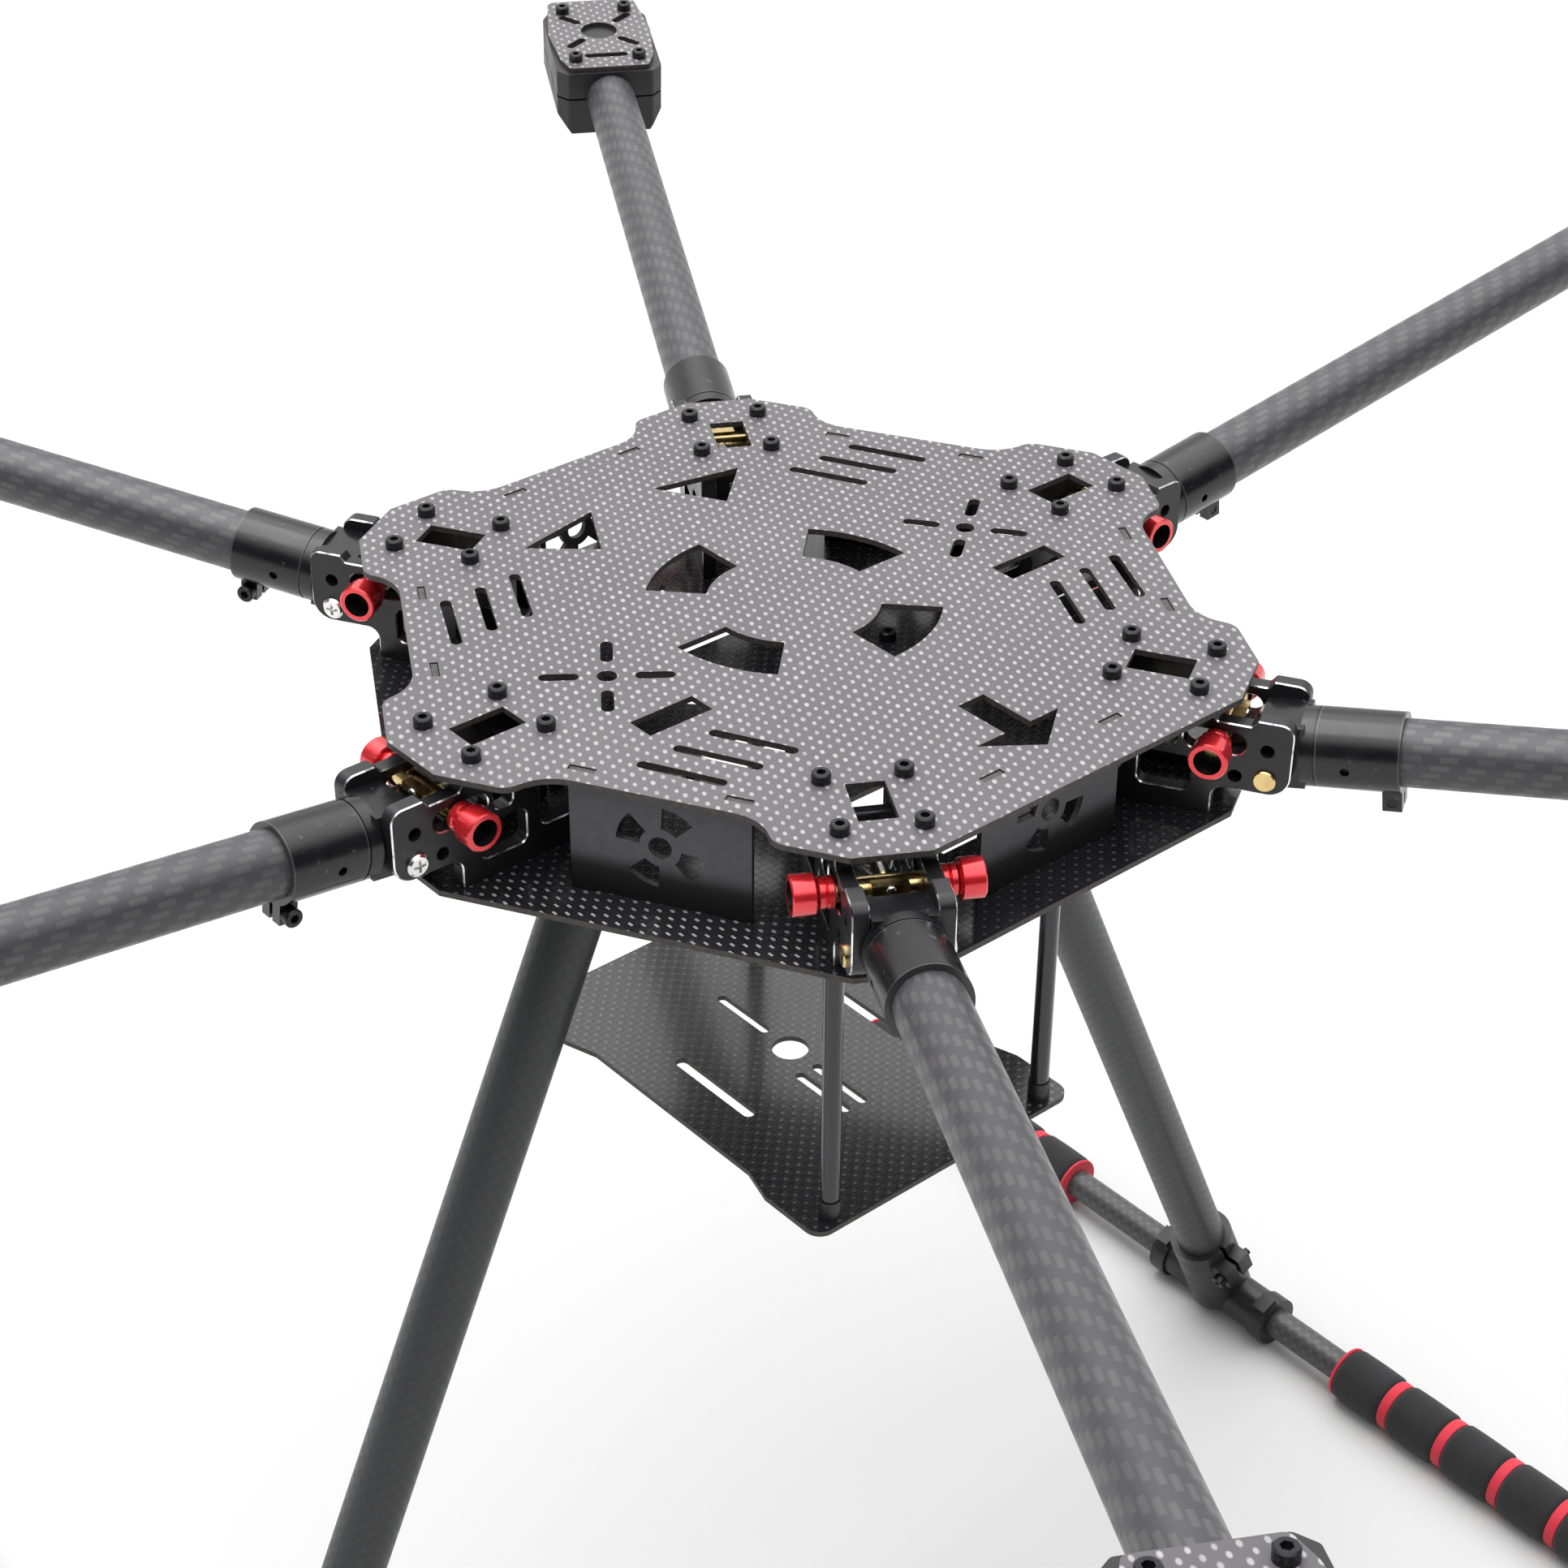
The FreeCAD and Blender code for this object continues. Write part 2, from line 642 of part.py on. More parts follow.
def make_hinge_screws():
    seed = new_body("hinge_screw_seed")
    profile = new_sketch(seed, "CrossHeadProfile", "XZ_Plane")
    head_r = 2.85
    draw_polygon(profile, [Vector(x, y, 0) for x, y in
                           ((0, -6.5), (SCREW_R, -6.5), (SCREW_R, 0), (head_r, 0),
                            (head_r, 0.6), (head_r - 0.6, 1.2), (0, 1.4))])
    revolve(seed, profile, "V_Axis")
    recess = new_sketch(seed, "CrossRecess", "XY_Plane", 1.4)
    arm = 1.6
    half = 0.36
    draw_polygon(recess, [Vector(x, y, 0) for x, y in
                          ((-half, -arm), (half, -arm), (half, -half), (arm, -half), (arm, half),
                           (half, half), (half, arm), (-half, arm), (-half, half), (-arm, half),
                           (-arm, -half), (-half, -half))])
    cut_blind(seed, recess, 1.2)
    placed = []
    for angle in ARMS.values():
        place = turned(angle).multiply(Placement(
            Vector(size("hinge_out"), BRACKET_OUTSIDE, HINGE_Z), Rotation(X_AXIS, -90)))
        placed.append((seed, place))
    return group("hinge_screws", placed)


# ------------------------------------------------------------------------- arm latches

STUD_RADIUS = 1.9
STUD_INNER = 88.0
SEAT_INNER = 82.4
SEAT_OUTER = 85.6
SPRING_RADIUS = 3.1              # coil centre line
SPRING_WIRE = 1.1
SPRING_PITCH = 2.9
SPRING_LENGTH = 13.6


def make_spring_seats():
    """A cross block between the two bracket plates that the latch spring pushes on."""
    seed = new_body("spring_seat_seed")
    face = new_sketch(seed, "SeatFace", "XZ_Plane")
    half_tall = 4.6
    corner_r = 0.6
    rounded_outline(face, [(SEAT_INNER, LATCH_Z - half_tall, corner_r),
                           (SEAT_OUTER, LATCH_Z - half_tall, corner_r),
                           (SEAT_OUTER, LATCH_Z + half_tall, corner_r),
                           (SEAT_INNER, LATCH_Z + half_tall, corner_r)])
    pad(seed, face, length=2 * size("bracket_inside"), both_ways=True)
    bore = new_sketch(seed, "SeatBore", "YZ_Plane")
    draw_circle(bore, Vector(0, LATCH_Z, 0), STUD_RADIUS + 0.1)
    cut_through(seed, bore)
    return group("spring_seats", [(seed, turned(angle)) for angle in ARMS.values()])


def make_latch_springs():
    seed = new_body("latch_spring_seed")
    wire = new_sketch(seed, "SpringWire", "XZ_Plane")
    draw_circle(wire, Vector(SPRING_RADIUS, 0, 0), SPRING_WIRE / 2)
    coil = seed.newObject("PartDesign::AdditiveHelix", "SpringCoil")
    coil.Profile = wire
    coil.ReferenceAxis = (wire, ["V_Axis"])
    coil.Mode = "pitch-height-angle"
    coil.Pitch = SPRING_PITCH
    coil.Height = SPRING_LENGTH - SPRING_WIRE
    start = SEAT_OUTER + SPRING_WIRE / 2 + 0.05
    placed = []
    for angle in ARMS.values():
        place = turned(angle).multiply(
            Placement(Vector(start, 0, LATCH_Z), Rotation(Y_AXIS, 90)))
        placed.append((seed, place))
    return group("latch_springs", placed)


KNOB_START = 0.3                 # gap between a knob and the bracket plate
KNOB_LENGTH = 9.6
LATCH_NECK_R = 1.5


def make_latch_pin():
    """Brass bar across the brackets, with a catch plate and the stud in the spring."""
    body = new_body("latch_pin_seed")
    bar = new_sketch(body, "LatchBar", "XZ_Plane")
    draw_circle(bar, Vector(0, 0, 0), size("latch_dia") / 2, "latch_dia")
    pad(body, bar, length=2 * (BRACKET_OUTSIDE + KNOB_START), both_ways=True)

    neck = new_sketch(body, "LatchNeck", "XZ_Plane")
    draw_circle(neck, Vector(0, 0, 0), LATCH_NECK_R)
    pad(body, neck, length=2 * (BRACKET_OUTSIDE + KNOB_START + 4.5), both_ways=True)

    catch = new_sketch(body, "LatchCatch", "XZ_Plane")
    catch_width = 8.3
    draw_box(catch, Vector(3.1, 2.0, 0), 2.8, 2.2)
    pad(body, catch, length=catch_width, both_ways=True)

    stud = new_sketch(body, "LatchStud", "YZ_Plane")
    draw_circle(stud, Vector(0, 0, 0), STUD_RADIUS)
    rod = pad(body, stud, length=size("latch_out") - STUD_INNER)
    rod.Reversed = True
    return body


def make_latch_knob():
    """Hollow turned knob: a grooved collar by the bracket and a larger grip."""
    body = new_body("latch_knob_seed")
    profile = new_sketch(body, "KnobProfile", "XZ_Plane")
    collar_r = 3.7
    grip_r = 4.7
    bore_r = 3.3
    bore_end = 5.0
    neck_r = LATCH_NECK_R + size("snug")
    draw_polygon(profile, [Vector(x, y, 0) for x, y in
                           ((neck_r, 0), (collar_r - 0.3, 0), (collar_r, 0.3), (collar_r, 1.5),
                            (collar_r - 0.5, 1.9), (collar_r, 2.3), (collar_r, 3.4),
                            (collar_r - 0.6, 3.8), (grip_r - 0.3, 4.2), (grip_r, 4.5),
                            (grip_r, KNOB_LENGTH - 0.3), (grip_r - 0.3, KNOB_LENGTH),
                            (bore_r, KNOB_LENGTH), (bore_r, bore_end), (neck_r, bore_end))])
    revolve(body, profile, "V_Axis")
    return body


def make_latches():
    pin = make_latch_pin()
    knob = make_latch_knob()
    pair = doc.addObject("Part::Compound", "latch_knob_pair")
    reach = BRACKET_OUTSIDE + KNOB_START
    pair.Links = [
        link_to(knob, "latch_knob_left", Placement(Vector(0, reach, 0), Rotation(X_AXIS, -90))),
        link_to(knob, "latch_knob_right", Placement(Vector(0, -reach, 0), Rotation(X_AXIS, 90)))]
    for arm, angle in ARMS.items():
        place = turned(angle).multiply(moved(size("latch_out"), 0, LATCH_Z))
        keep(link_to(pin, "latch_pin_" + arm, place))
        keep(link_to(pair, "latch_knobs_" + arm, place))


# -------------------------------------------------------------------------------- arms
# These pieces are drawn in the frame of a folding arm: the origin is the middle of the
# hinge pin, X runs out along the tube and Z is square to it.

LIFT = size("tube_lift")
TUBE_R = size("tube_dia") / 2
SLEEVE_R = size("sleeve_dia") / 2
TUBE_START = 9.0
TUBE_END = size("motor_out") + 14.0
LUG_CENTRE = 28.0
PLATE_LOW = LIFT + 9.0           # underside of the motor plate
MOUNT_LOW = LIFT - 12.2
MOUNT_SPLIT = 0.6                # gap between the two clamp halves
MOUNT_SCREWS = [(size("motor_out") + dx, dy) for dx in (-21.2, 14.8) for dy in (-10.5, 10.5)]
LUG_SCREW_Z = LIFT - SLEEVE_R - 2.3
LUG_HALF = 3.5


def make_knuckle():
    """Hinge tongue between the brackets and the split sleeve that holds the tube."""
    body = new_body("knuckle_seed")
    sleeve = new_sketch(body, "Sleeve", "YZ_Plane", size("sleeve_start"))
    draw_circle(sleeve, Vector(0, LIFT, 0), SLEEVE_R, "sleeve_dia")
    pad(body, sleeve, length=size("sleeve_end") - size("sleeve_start"))

    tongue = new_sketch(body, "Tongue", "XZ_Plane")
    eye = 3.9                    # round the pin, below
    cam = 11.2                   # the nose that the latch bar holds down
    joined = size("sleeve_start") + 1.0
    high = LIFT + 8.2
    shelf = 7.4
    side_play = 0.2
    grub_hole_r = 1.1
    low_start = Vector(joined, -eye, 0)
    low_end = Vector(0, -eye, 0)
    cam_low = polar(cam, 187)
    cam_high = polar(cam, 141)
    eye_side = polar(eye, 215)
    tongue.addGeometry(Part.LineSegment(low_start, low_end), False)
    tongue.addGeometry(Part.Arc(low_end, polar(eye, 242), eye_side), False)
    tongue.addGeometry(Part.LineSegment(eye_side, cam_low), False)
    tongue.addGeometry(Part.Arc(cam_low, polar(cam, 164), cam_high), False)
    top = [cam_high, Vector(-5.0, shelf, 0), Vector(-2.4, high, 0), Vector(joined, high, 0), low_start]
    for start, end in zip(top, top[1:]):
        tongue.addGeometry(Part.LineSegment(start, end), False)
    pad(body, tongue, length=2 * size("bracket_inside") - side_play, both_ways=True)

    lug = new_sketch(body, "ClampLug", "XZ_Plane")
    draw_box(lug, Vector(LUG_CENTRE, LIFT - SLEEVE_R - 1.6, 0), 4.6, 6.0)
    pad(body, lug, length=2 * LUG_HALF, both_ways=True)

    bore = new_sketch(body, "SleeveBore", "YZ_Plane", size("sleeve_end"))
    draw_circle(bore, Vector(0, LIFT, 0), TUBE_R + size("snug"))
    cut_blind(body, bore, size("sleeve_end") - TUBE_START + 0.2)

    split = new_sketch(body, "SleeveSplit", "YZ_Plane", size("sleeve_end"))
    split_width = 1.2
    split_length = 14.0
    draw_box(split, Vector(0, LIFT - SLEEVE_R, 0), split_width, 12.0)
    cut_blind(body, split, split_length)

    across = new_sketch(body, "CrossHoles", "XZ_Plane")
    draw_circle(across, Vector(0, 0, 0), size("hinge_dia") / 2 + size("running"))
    draw_circle(across, Vector(18.2, LIFT - 1.0, 0), grub_hole_r)
    draw_circle(across, Vector(LUG_CENTRE, LUG_SCREW_Z, 0), TAPPED_R)
    cut_through(body, across)

    ring = new_sketch(body, "SleeveGroove", "XZ_Plane")
    groove_x = 11.0
    draw_box(ring, Vector(groove_x, LIFT + SLEEVE_R, 0), 0.5, 0.6)
    ring.addGeometry(Part.LineSegment(Vector(0, LIFT, 0), Vector(30, LIFT, 0)), True)
    groove = body.newObject("PartDesign::Groove", "SleeveRing")
    groove.Profile = ring
    groove.ReferenceAxis = (ring, ["Axis0"])
    groove.Angle = 360
    return body


def make_arm_tube():
    body = new_body("arm_tube_seed")
    ring = new_sketch(body, "TubeRing", "YZ_Plane", TUBE_START)
    draw_circle(ring, Vector(0, LIFT, 0), TUBE_R, "tube_dia")
    draw_circle(ring, Vector(0, LIFT, 0), size("tube_bore") / 2, "tube_bore")
    pad(body, ring, length=TUBE_END - TUBE_START)
    return body


def mirrored_plan(sketch, corners):
    """A plan outline about the tube axis, from corners (from the motor, half width, radius)."""
    centre = size("motor_out")
    near = [(centre + x, -half, radius) for x, half, radius in corners]
    far = [(centre + x, half, radius) for x, half, radius in reversed(corners)]
    rounded_outline(sketch, near + far)


def make_mount_half(name, low, high):
    """One half of the clamp under the motor plate, bored for the tube."""
    body = new_body(name)
    plan = new_sketch(body, name + "Plan", "XY_Plane", low)
    mirrored_plan(plan, [(-28.5, 14.0, 1.5), (-25.0, 17.4, 1.5), (13.0, 17.4, 4.0),
                         (19.0, 14.4, 3.0)])
    pad(body, plan, length=high - low)
    bore = new_sketch(body, name + "Bore", "YZ_Plane")
    draw_circle(bore, Vector(0, LIFT, 0), TUBE_R + size("snug"))
    cut_through(body, bore)
    holes = new_sketch(body, name + "Holes", "XY_Plane")
    for x, y in MOUNT_SCREWS:
        draw_circle(holes, Vector(x, y, 0), TAPPED_R)
    cut_through(body, holes)
    return body


def make_motor_mount():
    upper = make_mount_half("mount_upper", LIFT + MOUNT_SPLIT / 2, PLATE_LOW)
    lower = make_mount_half("mount_lower", MOUNT_LOW, LIFT - MOUNT_SPLIT / 2)
    ribs = new_sketch(lower, "LowerTaper", "YZ_Plane")
    taper_top = LIFT - 6.0
    below = MOUNT_LOW - 1.0
    for side in (-1, 1):
        draw_polygon(ribs, [Vector(side * x, y, 0) for x, y in
                            ((20, taper_top), (20, below), (12.4, below), (17.6, taper_top))])
    cut_through(lower, ribs)
    recess = new_sketch(lower, "LowerRecess", "XZ_Plane")
    recess_width = 5.5
    for x in (-14.0, -3.0, 7.5):
        draw_box(recess, Vector(size("motor_out") + x, MOUNT_LOW, 0), recess_width, 3.0)
    cut_through(lower, recess)
    pair = doc.addObject("Part::Compound", "motor_mount_pair")
    pair.Links = [upper, lower]
    return pair


def make_motor_plate():
    body = new_body("motor_plate_seed")
    plan = new_sketch(body, "MotorPlatePlan", "XY_Plane", PLATE_LOW)
    mirrored_plan(plan, [(-27.0, 13.0, 2.0), (-20.0, 15.4, 6.0), (-1.0, 17.2, 10.0),
                         (23.0, 14.6, 3.0)])
    pad(body, plan, "plate_thick")
    centre = Vector(size("motor_out"), 0, 0)
    cuts = new_sketch(body, "MotorPlateCuts", "XY_Plane")
    draw_circle(cuts, centre, size("motor_bore") / 2, "motor_bore")
    slot_width = 2.8
    draw_cross_slots(cuts, centre, 0.0, 9.5, 15.2, slot_width)
    draw_slot(cuts, centre + Vector(-18.4, -5.8, 0), centre + Vector(-18.4, 5.8, 0), slot_width)
    for x, y in MOUNT_SCREWS:
        draw_circle(cuts, Vector(x, y, 0), CLEAR_R)
    cut_through(body, cuts)
    return body


def make_arm_screws():
    """Four long cap screws of the motor mount and the sleeve clamp screw."""
    mount_screw = make_cap_screw("mount_screw_seed", 25.4, HEAD_TALL)
    clamp_screw = make_cap_screw("clamp_screw_seed", 6.8, HEAD_TALL)
    links = [link_to(mount_screw, "mount_screw_%d" % k, moved(x, y, PLATE_LOW + PLATE))
             for k, (x, y) in enumerate(MOUNT_SCREWS)]
    links.append(link_to(clamp_screw, "sleeve_screw", Placement(
        Vector(LUG_CENTRE, LUG_HALF, LUG_SCREW_Z), Rotation(X_AXIS, -90))))
    screw_set = doc.addObject("Part::Compound", "arm_screw_set")
    screw_set.Links = links
    return screw_set


def make_arms():
    seeds = {
        "arm_tube": make_arm_tube(),
        "arm_knuckle": make_knuckle(),
        "motor_mount": make_motor_mount(),
        "motor_plate": make_motor_plate(),
        "arm_screws": make_arm_screws(),
    }
    rise = Rotation(Y_AXIS, -size("arm_rise"))
    for arm, angle in ARMS.items():
        hinge = Placement(Vector(size("hinge_out"), 0, HINGE_Z), rise)
        for kind, seed in seeds.items():
            keep(link_to(seed, kind + "_" + arm, turned(angle).multiply(hinge)))


# ------------------------------------------------------------------------ battery tray

def make_battery_plate():
    body = new_body("battery_plate")
    plan = new_sketch(body, "TrayPlan")
    end = size("tray_half_length")
    wide = size("tray_half_width")
    waist = size("tray_waist")
    corner_r = 4.5
    waist_r = 2.0
    right = [(wide, -end, corner_r), (wide, -41.5, waist_r), (waist, -31.5, waist_r),
             (waist, 31.5, waist_r), (wide, 41.5, waist_r), (wide, end, corner_r)]
    left = [(-x, y, radius) for x, y, radius in reversed(right)]
    rounded_outline(plan, right + left)
    pad(body, plan, "plate_thick")
    cuts = new_sketch(body, "TrayCuts")
    draw_circle(cuts, Vector(0, 0, 0), size("tray_hole") / 2, "tray_hole")
    for x in (-26, 26):
        draw_slot(cuts, Vector(x, -13.6, 0), Vector(x, 13.6, 0), 3.6)
    draw_slot(cuts, Vector(0, 10.6, 0), Vector(0, 28.4, 0), 2.8)
    draw_slot(cuts, Vector(0, -28.6, 0), Vector(0, -11.0, 0), 2.8)
    draw_slot(cuts, Vector(-5.8, -28.6, 0), Vector(-5.8, -11.0, 0), 2.8)
    for x, y in post_places():
        draw_circle(cuts, Vector(x, y, 0), CLEAR_R)
    cut_through(body, cuts)
    body.Placement = moved(0, 0, size("tray_top") - PLATE)
    return keep(body)


def make_posts():
    seed = new_body("post_seed")
    ring = new_sketch(seed, "PostRound")
    draw_circle(ring, Vector(0, 0, 0), size("post_dia") / 2, "post_dia")
    foot_top = size("tray_top") + size("foot_tall")
    tall = BASE_UNDER - foot_top
    pad(seed, ring, length=tall)
    thread_depth = 9.0
    for name, height, reverse in (("PostThreadBase", 0.0, True), ("PostThreadTop", tall, False)):
        thread = new_sketch(seed, name, "XY_Plane", height)
        draw_circle(thread, Vector(0, 0, 0), TAPPED_R)
        cut_blind(seed, thread, thread_depth, reverse)
    group("battery_posts", [(seed, moved(x, y, foot_top)) for x, y in post_places()])

    foot = new_body("post_foot_seed")
    plan = new_sketch(foot, "FootPlan")
    draw_circle(plan, Vector(0, 0, 0), size("foot_dia") / 2, "foot_dia")
    draw_circle(plan, Vector(0, 0, 0), CLEAR_R)
    pad(foot, plan, "foot_tall")
    group("post_feet", [(foot, moved(x, y, size("tray_top"))) for x, y in post_places()])


# ------------------------------------------------------------------------ landing gear

LEG_DROP = BASE_UNDER - size("skid_height")
LEG_LENGTH = LEG_DROP / math.cos(SPLAY)       # plate underside to the skid axis, on the leg
SKID_X = size("leg_start") + LEG_DROP * math.tan(SPLAY)
LEG_SEAT = 4.7                   # the leg tube stops this far below the bottom plate
TEE_SOCKET = 32.0                # from the skid axis up the leg
TEE_SEAT = 12.0                  # the leg tube stops this far above the skid axis
TEE_LUG_OUT = 11.6               # clamp lug, from the leg axis along the skid
TEE_LUG_UP = 23.5
TEE_LUG_HALF = 5.6
TEE_SCREW_OUT = 12.0


def tee_place(side):
    """Frame of a tee: origin on the skid axis, Z up along the leg, Y along the skid."""
    lean = Rotation(Y_AXIS, -size("leg_splay"))
    mirror = Rotation(Z_AXIS, 0 if side > 0 else 180)
    return Placement(Vector(side * SKID_X, 0, size("skid_height")), mirror.multiply(lean))


def make_leg_sockets():
    """Foot plate screwed under the hub with a short slanted cup for the leg tube."""
    flange = 2.5
    cup_r = 10.2
    cup_length = 13.0
    body = new_body("leg_socket_seed")
    plan = new_sketch(body, "SocketPlan", "XY_Plane", -flange)
    rounded_outline(plan, [(-18.5, -14.5, 3), (16.5, -14.5, 3), (16.5, 14.5, 3), (-18.5, 14.5, 3)])
    pad(body, plan, length=flange)

    lean = Rotation(Y_AXIS, -size("leg_splay"))
    cup_face = new_sketch(body, "SocketCup")
    cup_face.AttachmentOffset = Placement(Vector(0, 0, 0), lean)
    draw_circle(cup_face, Vector(0, 0, 0), cup_r)
    cup = pad(body, cup_face, length=cup_length)
    cup.Reversed = True
    trim = new_sketch(body, "SocketTrim")
    draw_circle(trim, Vector(0, 0, 0), 30.0)
    cut_blind(body, trim, 12.0, reverse=True)

    bore = new_sketch(body, "SocketBore")
    bore.AttachmentOffset = Placement(lean.multVec(Vector(0, 0, 0.1 - LEG_SEAT)), lean)
    draw_circle(bore, Vector(0, 0, 0), TUBE_R + size("snug"))
    cut_blind(body, bore, cup_length)
    holes = new_sketch(body, "SocketThreads")
    for dx in SOCKET_BOLTS_X:
        for dy in SOCKET_BOLTS_Y:
            draw_circle(holes, Vector(dx, dy, 0), TAPPED_R)
    cut_through(body, holes)
    placed = []
    for side in (1, -1):
        mirror = Rotation(Z_AXIS, 0 if side > 0 else 180)
        placed.append((body, Placement(Vector(side * size("leg_start"), 0, BASE_UNDER), mirror)))
    return group("leg_sockets", placed)


def make_leg_tubes():
    seed = new_body("leg_tube_seed")
    ring = new_sketch(seed, "LegRing", "XY_Plane", TEE_SEAT)
    draw_circle(ring, Vector(0, 0, 0), TUBE_R, "tube_dia")
    draw_circle(ring, Vector(0, 0, 0), size("tube_bore") / 2, "tube_bore")
    pad(seed, ring, length=LEG_LENGTH - LEG_SEAT - TEE_SEAT)
    return group("leg_tubes", [(seed, tee_place(side)) for side in (1, -1)])


def make_skid_tees():
    """Sleeve round the skid tube with a split socket that clamps the leg."""
    tee_half = 25.0
    sleeve_r = 7.4
    socket_r = 10.3
    collar_r = 8.3
    collar_length = 6.0
    seed = new_body("skid_tee_seed")
    sleeve = new_sketch(seed, "TeeSleeve", "XZ_Plane")
    draw_circle(sleeve, Vector(0, 0, 0), sleeve_r)
    pad(seed, sleeve, length=2 * tee_half, both_ways=True)
    socket = new_sketch(seed, "TeeSocket")
    draw_circle(socket, Vector(0, 0, 0), socket_r)
    pad(seed, socket, length=TEE_SOCKET)
    collar_y = tee_half - collar_length / 2
    for name, middle in (("TeeNear", -collar_y), ("TeeFar", collar_y)):
        collar = new_sketch(seed, name, "XZ_Plane", -middle)
        draw_circle(collar, Vector(0, 0, 0), collar_r)
        pad(seed, collar, length=collar_length, both_ways=True)
        bump = new_sketch(seed, name + "Bump", "XZ_Plane", -middle)
        draw_box(bump, Vector(0, 7.6, 0), 6.0, 4.6)
        pad(seed, bump, length=5.0, both_ways=True)
    lug = new_sketch(seed, "TeeLug", "YZ_Plane")
    draw_box(lug, Vector(-TEE_LUG_OUT, TEE_LUG_UP, 0), 6.4, 8.0)
    pad(seed, lug, length=2 * TEE_LUG_HALF, both_ways=True)

    skid_bore = new_sketch(seed, "TeeSkidBore", "XZ_Plane")
    draw_circle(skid_bore, Vector(0, 0, 0), size("skid_dia") / 2 + size("snug"))
    cut_through(seed, skid_bore)
    leg_bore = new_sketch(seed, "TeeLegBore", "XY_Plane", TEE_SOCKET)
    draw_circle(leg_bore, Vector(0, 0, 0), TUBE_R + size("snug"))
    cut_blind(seed, leg_bore, TEE_SOCKET - TEE_SEAT)
    split = new_sketch(seed, "TeeSplit", "XY_Plane", TEE_SOCKET)
    draw_box(split, Vector(0, -TEE_LUG_OUT, 0), 1.4, 14.0)
    cut_blind(seed, split, 14.0)
    across = new_sketch(seed, "TeeLugHole", "YZ_Plane")
    draw_circle(across, Vector(-TEE_SCREW_OUT, TEE_LUG_UP, 0), TAPPED_R)
    cut_through(seed, across)
    return group("skid_tees", [(seed, tee_place(side)) for side in (1, -1)])


def make_tube_slice(name, outside, alias):
    """A short ring on the skid tube, drawn about its own middle."""
    body = new_body(name)
    face = new_sketch(body, name + "Face", "XZ_Plane")
    draw_circle(face, Vector(0, 0, 0), size(outside) / 2, outside)
    draw_circle(face, Vector(0, 0, 0), size("skid_dia") / 2 + size("snug"))
    pad(body, face, alias, both_ways=True)
    return body


def make_skids():
    """Skid tubes; each end carries a foam grip of five lengths parted by red rings."""
    height = size("skid_height")
    shift = size("skid_shift")
    tube = new_body("skid_tube_seed")
    ring = new_sketch(tube, "SkidRing", "XZ_Plane")
    draw_circle(ring, Vector(0, 0, 0), size("skid_dia") / 2, "skid_dia")
    draw_circle(ring, Vector(0, 0, 0), size("skid_bore") / 2, "skid_bore")
    pad(tube, ring, "skid_length", both_ways=True)
    group("skid_tubes", [(tube, moved(side * SKID_X, shift, height)) for side in (1, -1)])

    pad_seed = make_tube_slice("pad_seed", "pad_dia", "pad_length")
    ring_seed = make_tube_slice("ring_seed", "ring_dia", "ring_length")
    disc_seed = make_tube_slice("disc_seed", "pad_dia", "end_disc")
    pads_each = 5
    disc = size("end_disc")
    pitch = size("pad_length") + size("ring_length")
    outer_end = size("skid_length") / 2
    first_pad = outer_end - disc - size("pad_length") / 2
    inner_disc = first_pad - (pads_each - 1) * pitch - size("pad_length") / 2 - disc / 2
    pads = []
    rings = []
    for x in (SKID_X, -SKID_X):
        for end in (-1, 1):
            for k in range(pads_each):
                pads.append((pad_seed, moved(x, shift + end * (first_pad - k * pitch), height)))
            for k in range(pads_each - 1):
                middle = first_pad - (k + 0.5) * pitch
                rings.append((ring_seed, moved(x, shift + end * middle, height)))
            for middle in (outer_end - disc / 2, inner_disc):
                rings.append((disc_seed, moved(x, shift + end * middle, height)))
    group("skid_pads", pads)
    group("pad_rings", rings)


# ----------------------------------------------------------------------------- build it

make_top_plate()
make_bottom_plate()
make_side_panels()
make_brackets()
make_frame_screws()
make_hinge_pins()
make_hinge_screws()
make_spring_seats()
make_latch_springs()
make_latches()
make_arms()
make_battery_plate()
make_posts()
make_leg_sockets()
make_leg_tubes()
make_skid_tees()
make_skids()
doc.recompute()

for item in doc.Objects:
    if "Invalid" in item.State or "Error" in item.State:
        raise RuntimeError("failed object: " + item.Label)

os.makedirs("parts", exist_ok=True)
for item in nodes:
    shape = item.Shape
    if shape.isNull() or not shape.isValid():
        raise RuntimeError("bad shape: " + item.Label)
    shape.exportStep("parts/" + item.Label + ".step")
    print("%-28s solids %3d  volume %10.1f" % (item.Label, len(shape.Solids), shape.Volume))
print("nodes", len(nodes))
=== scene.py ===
import json
import math

import bmesh
import bpy
from mathutils import Matrix, Vector


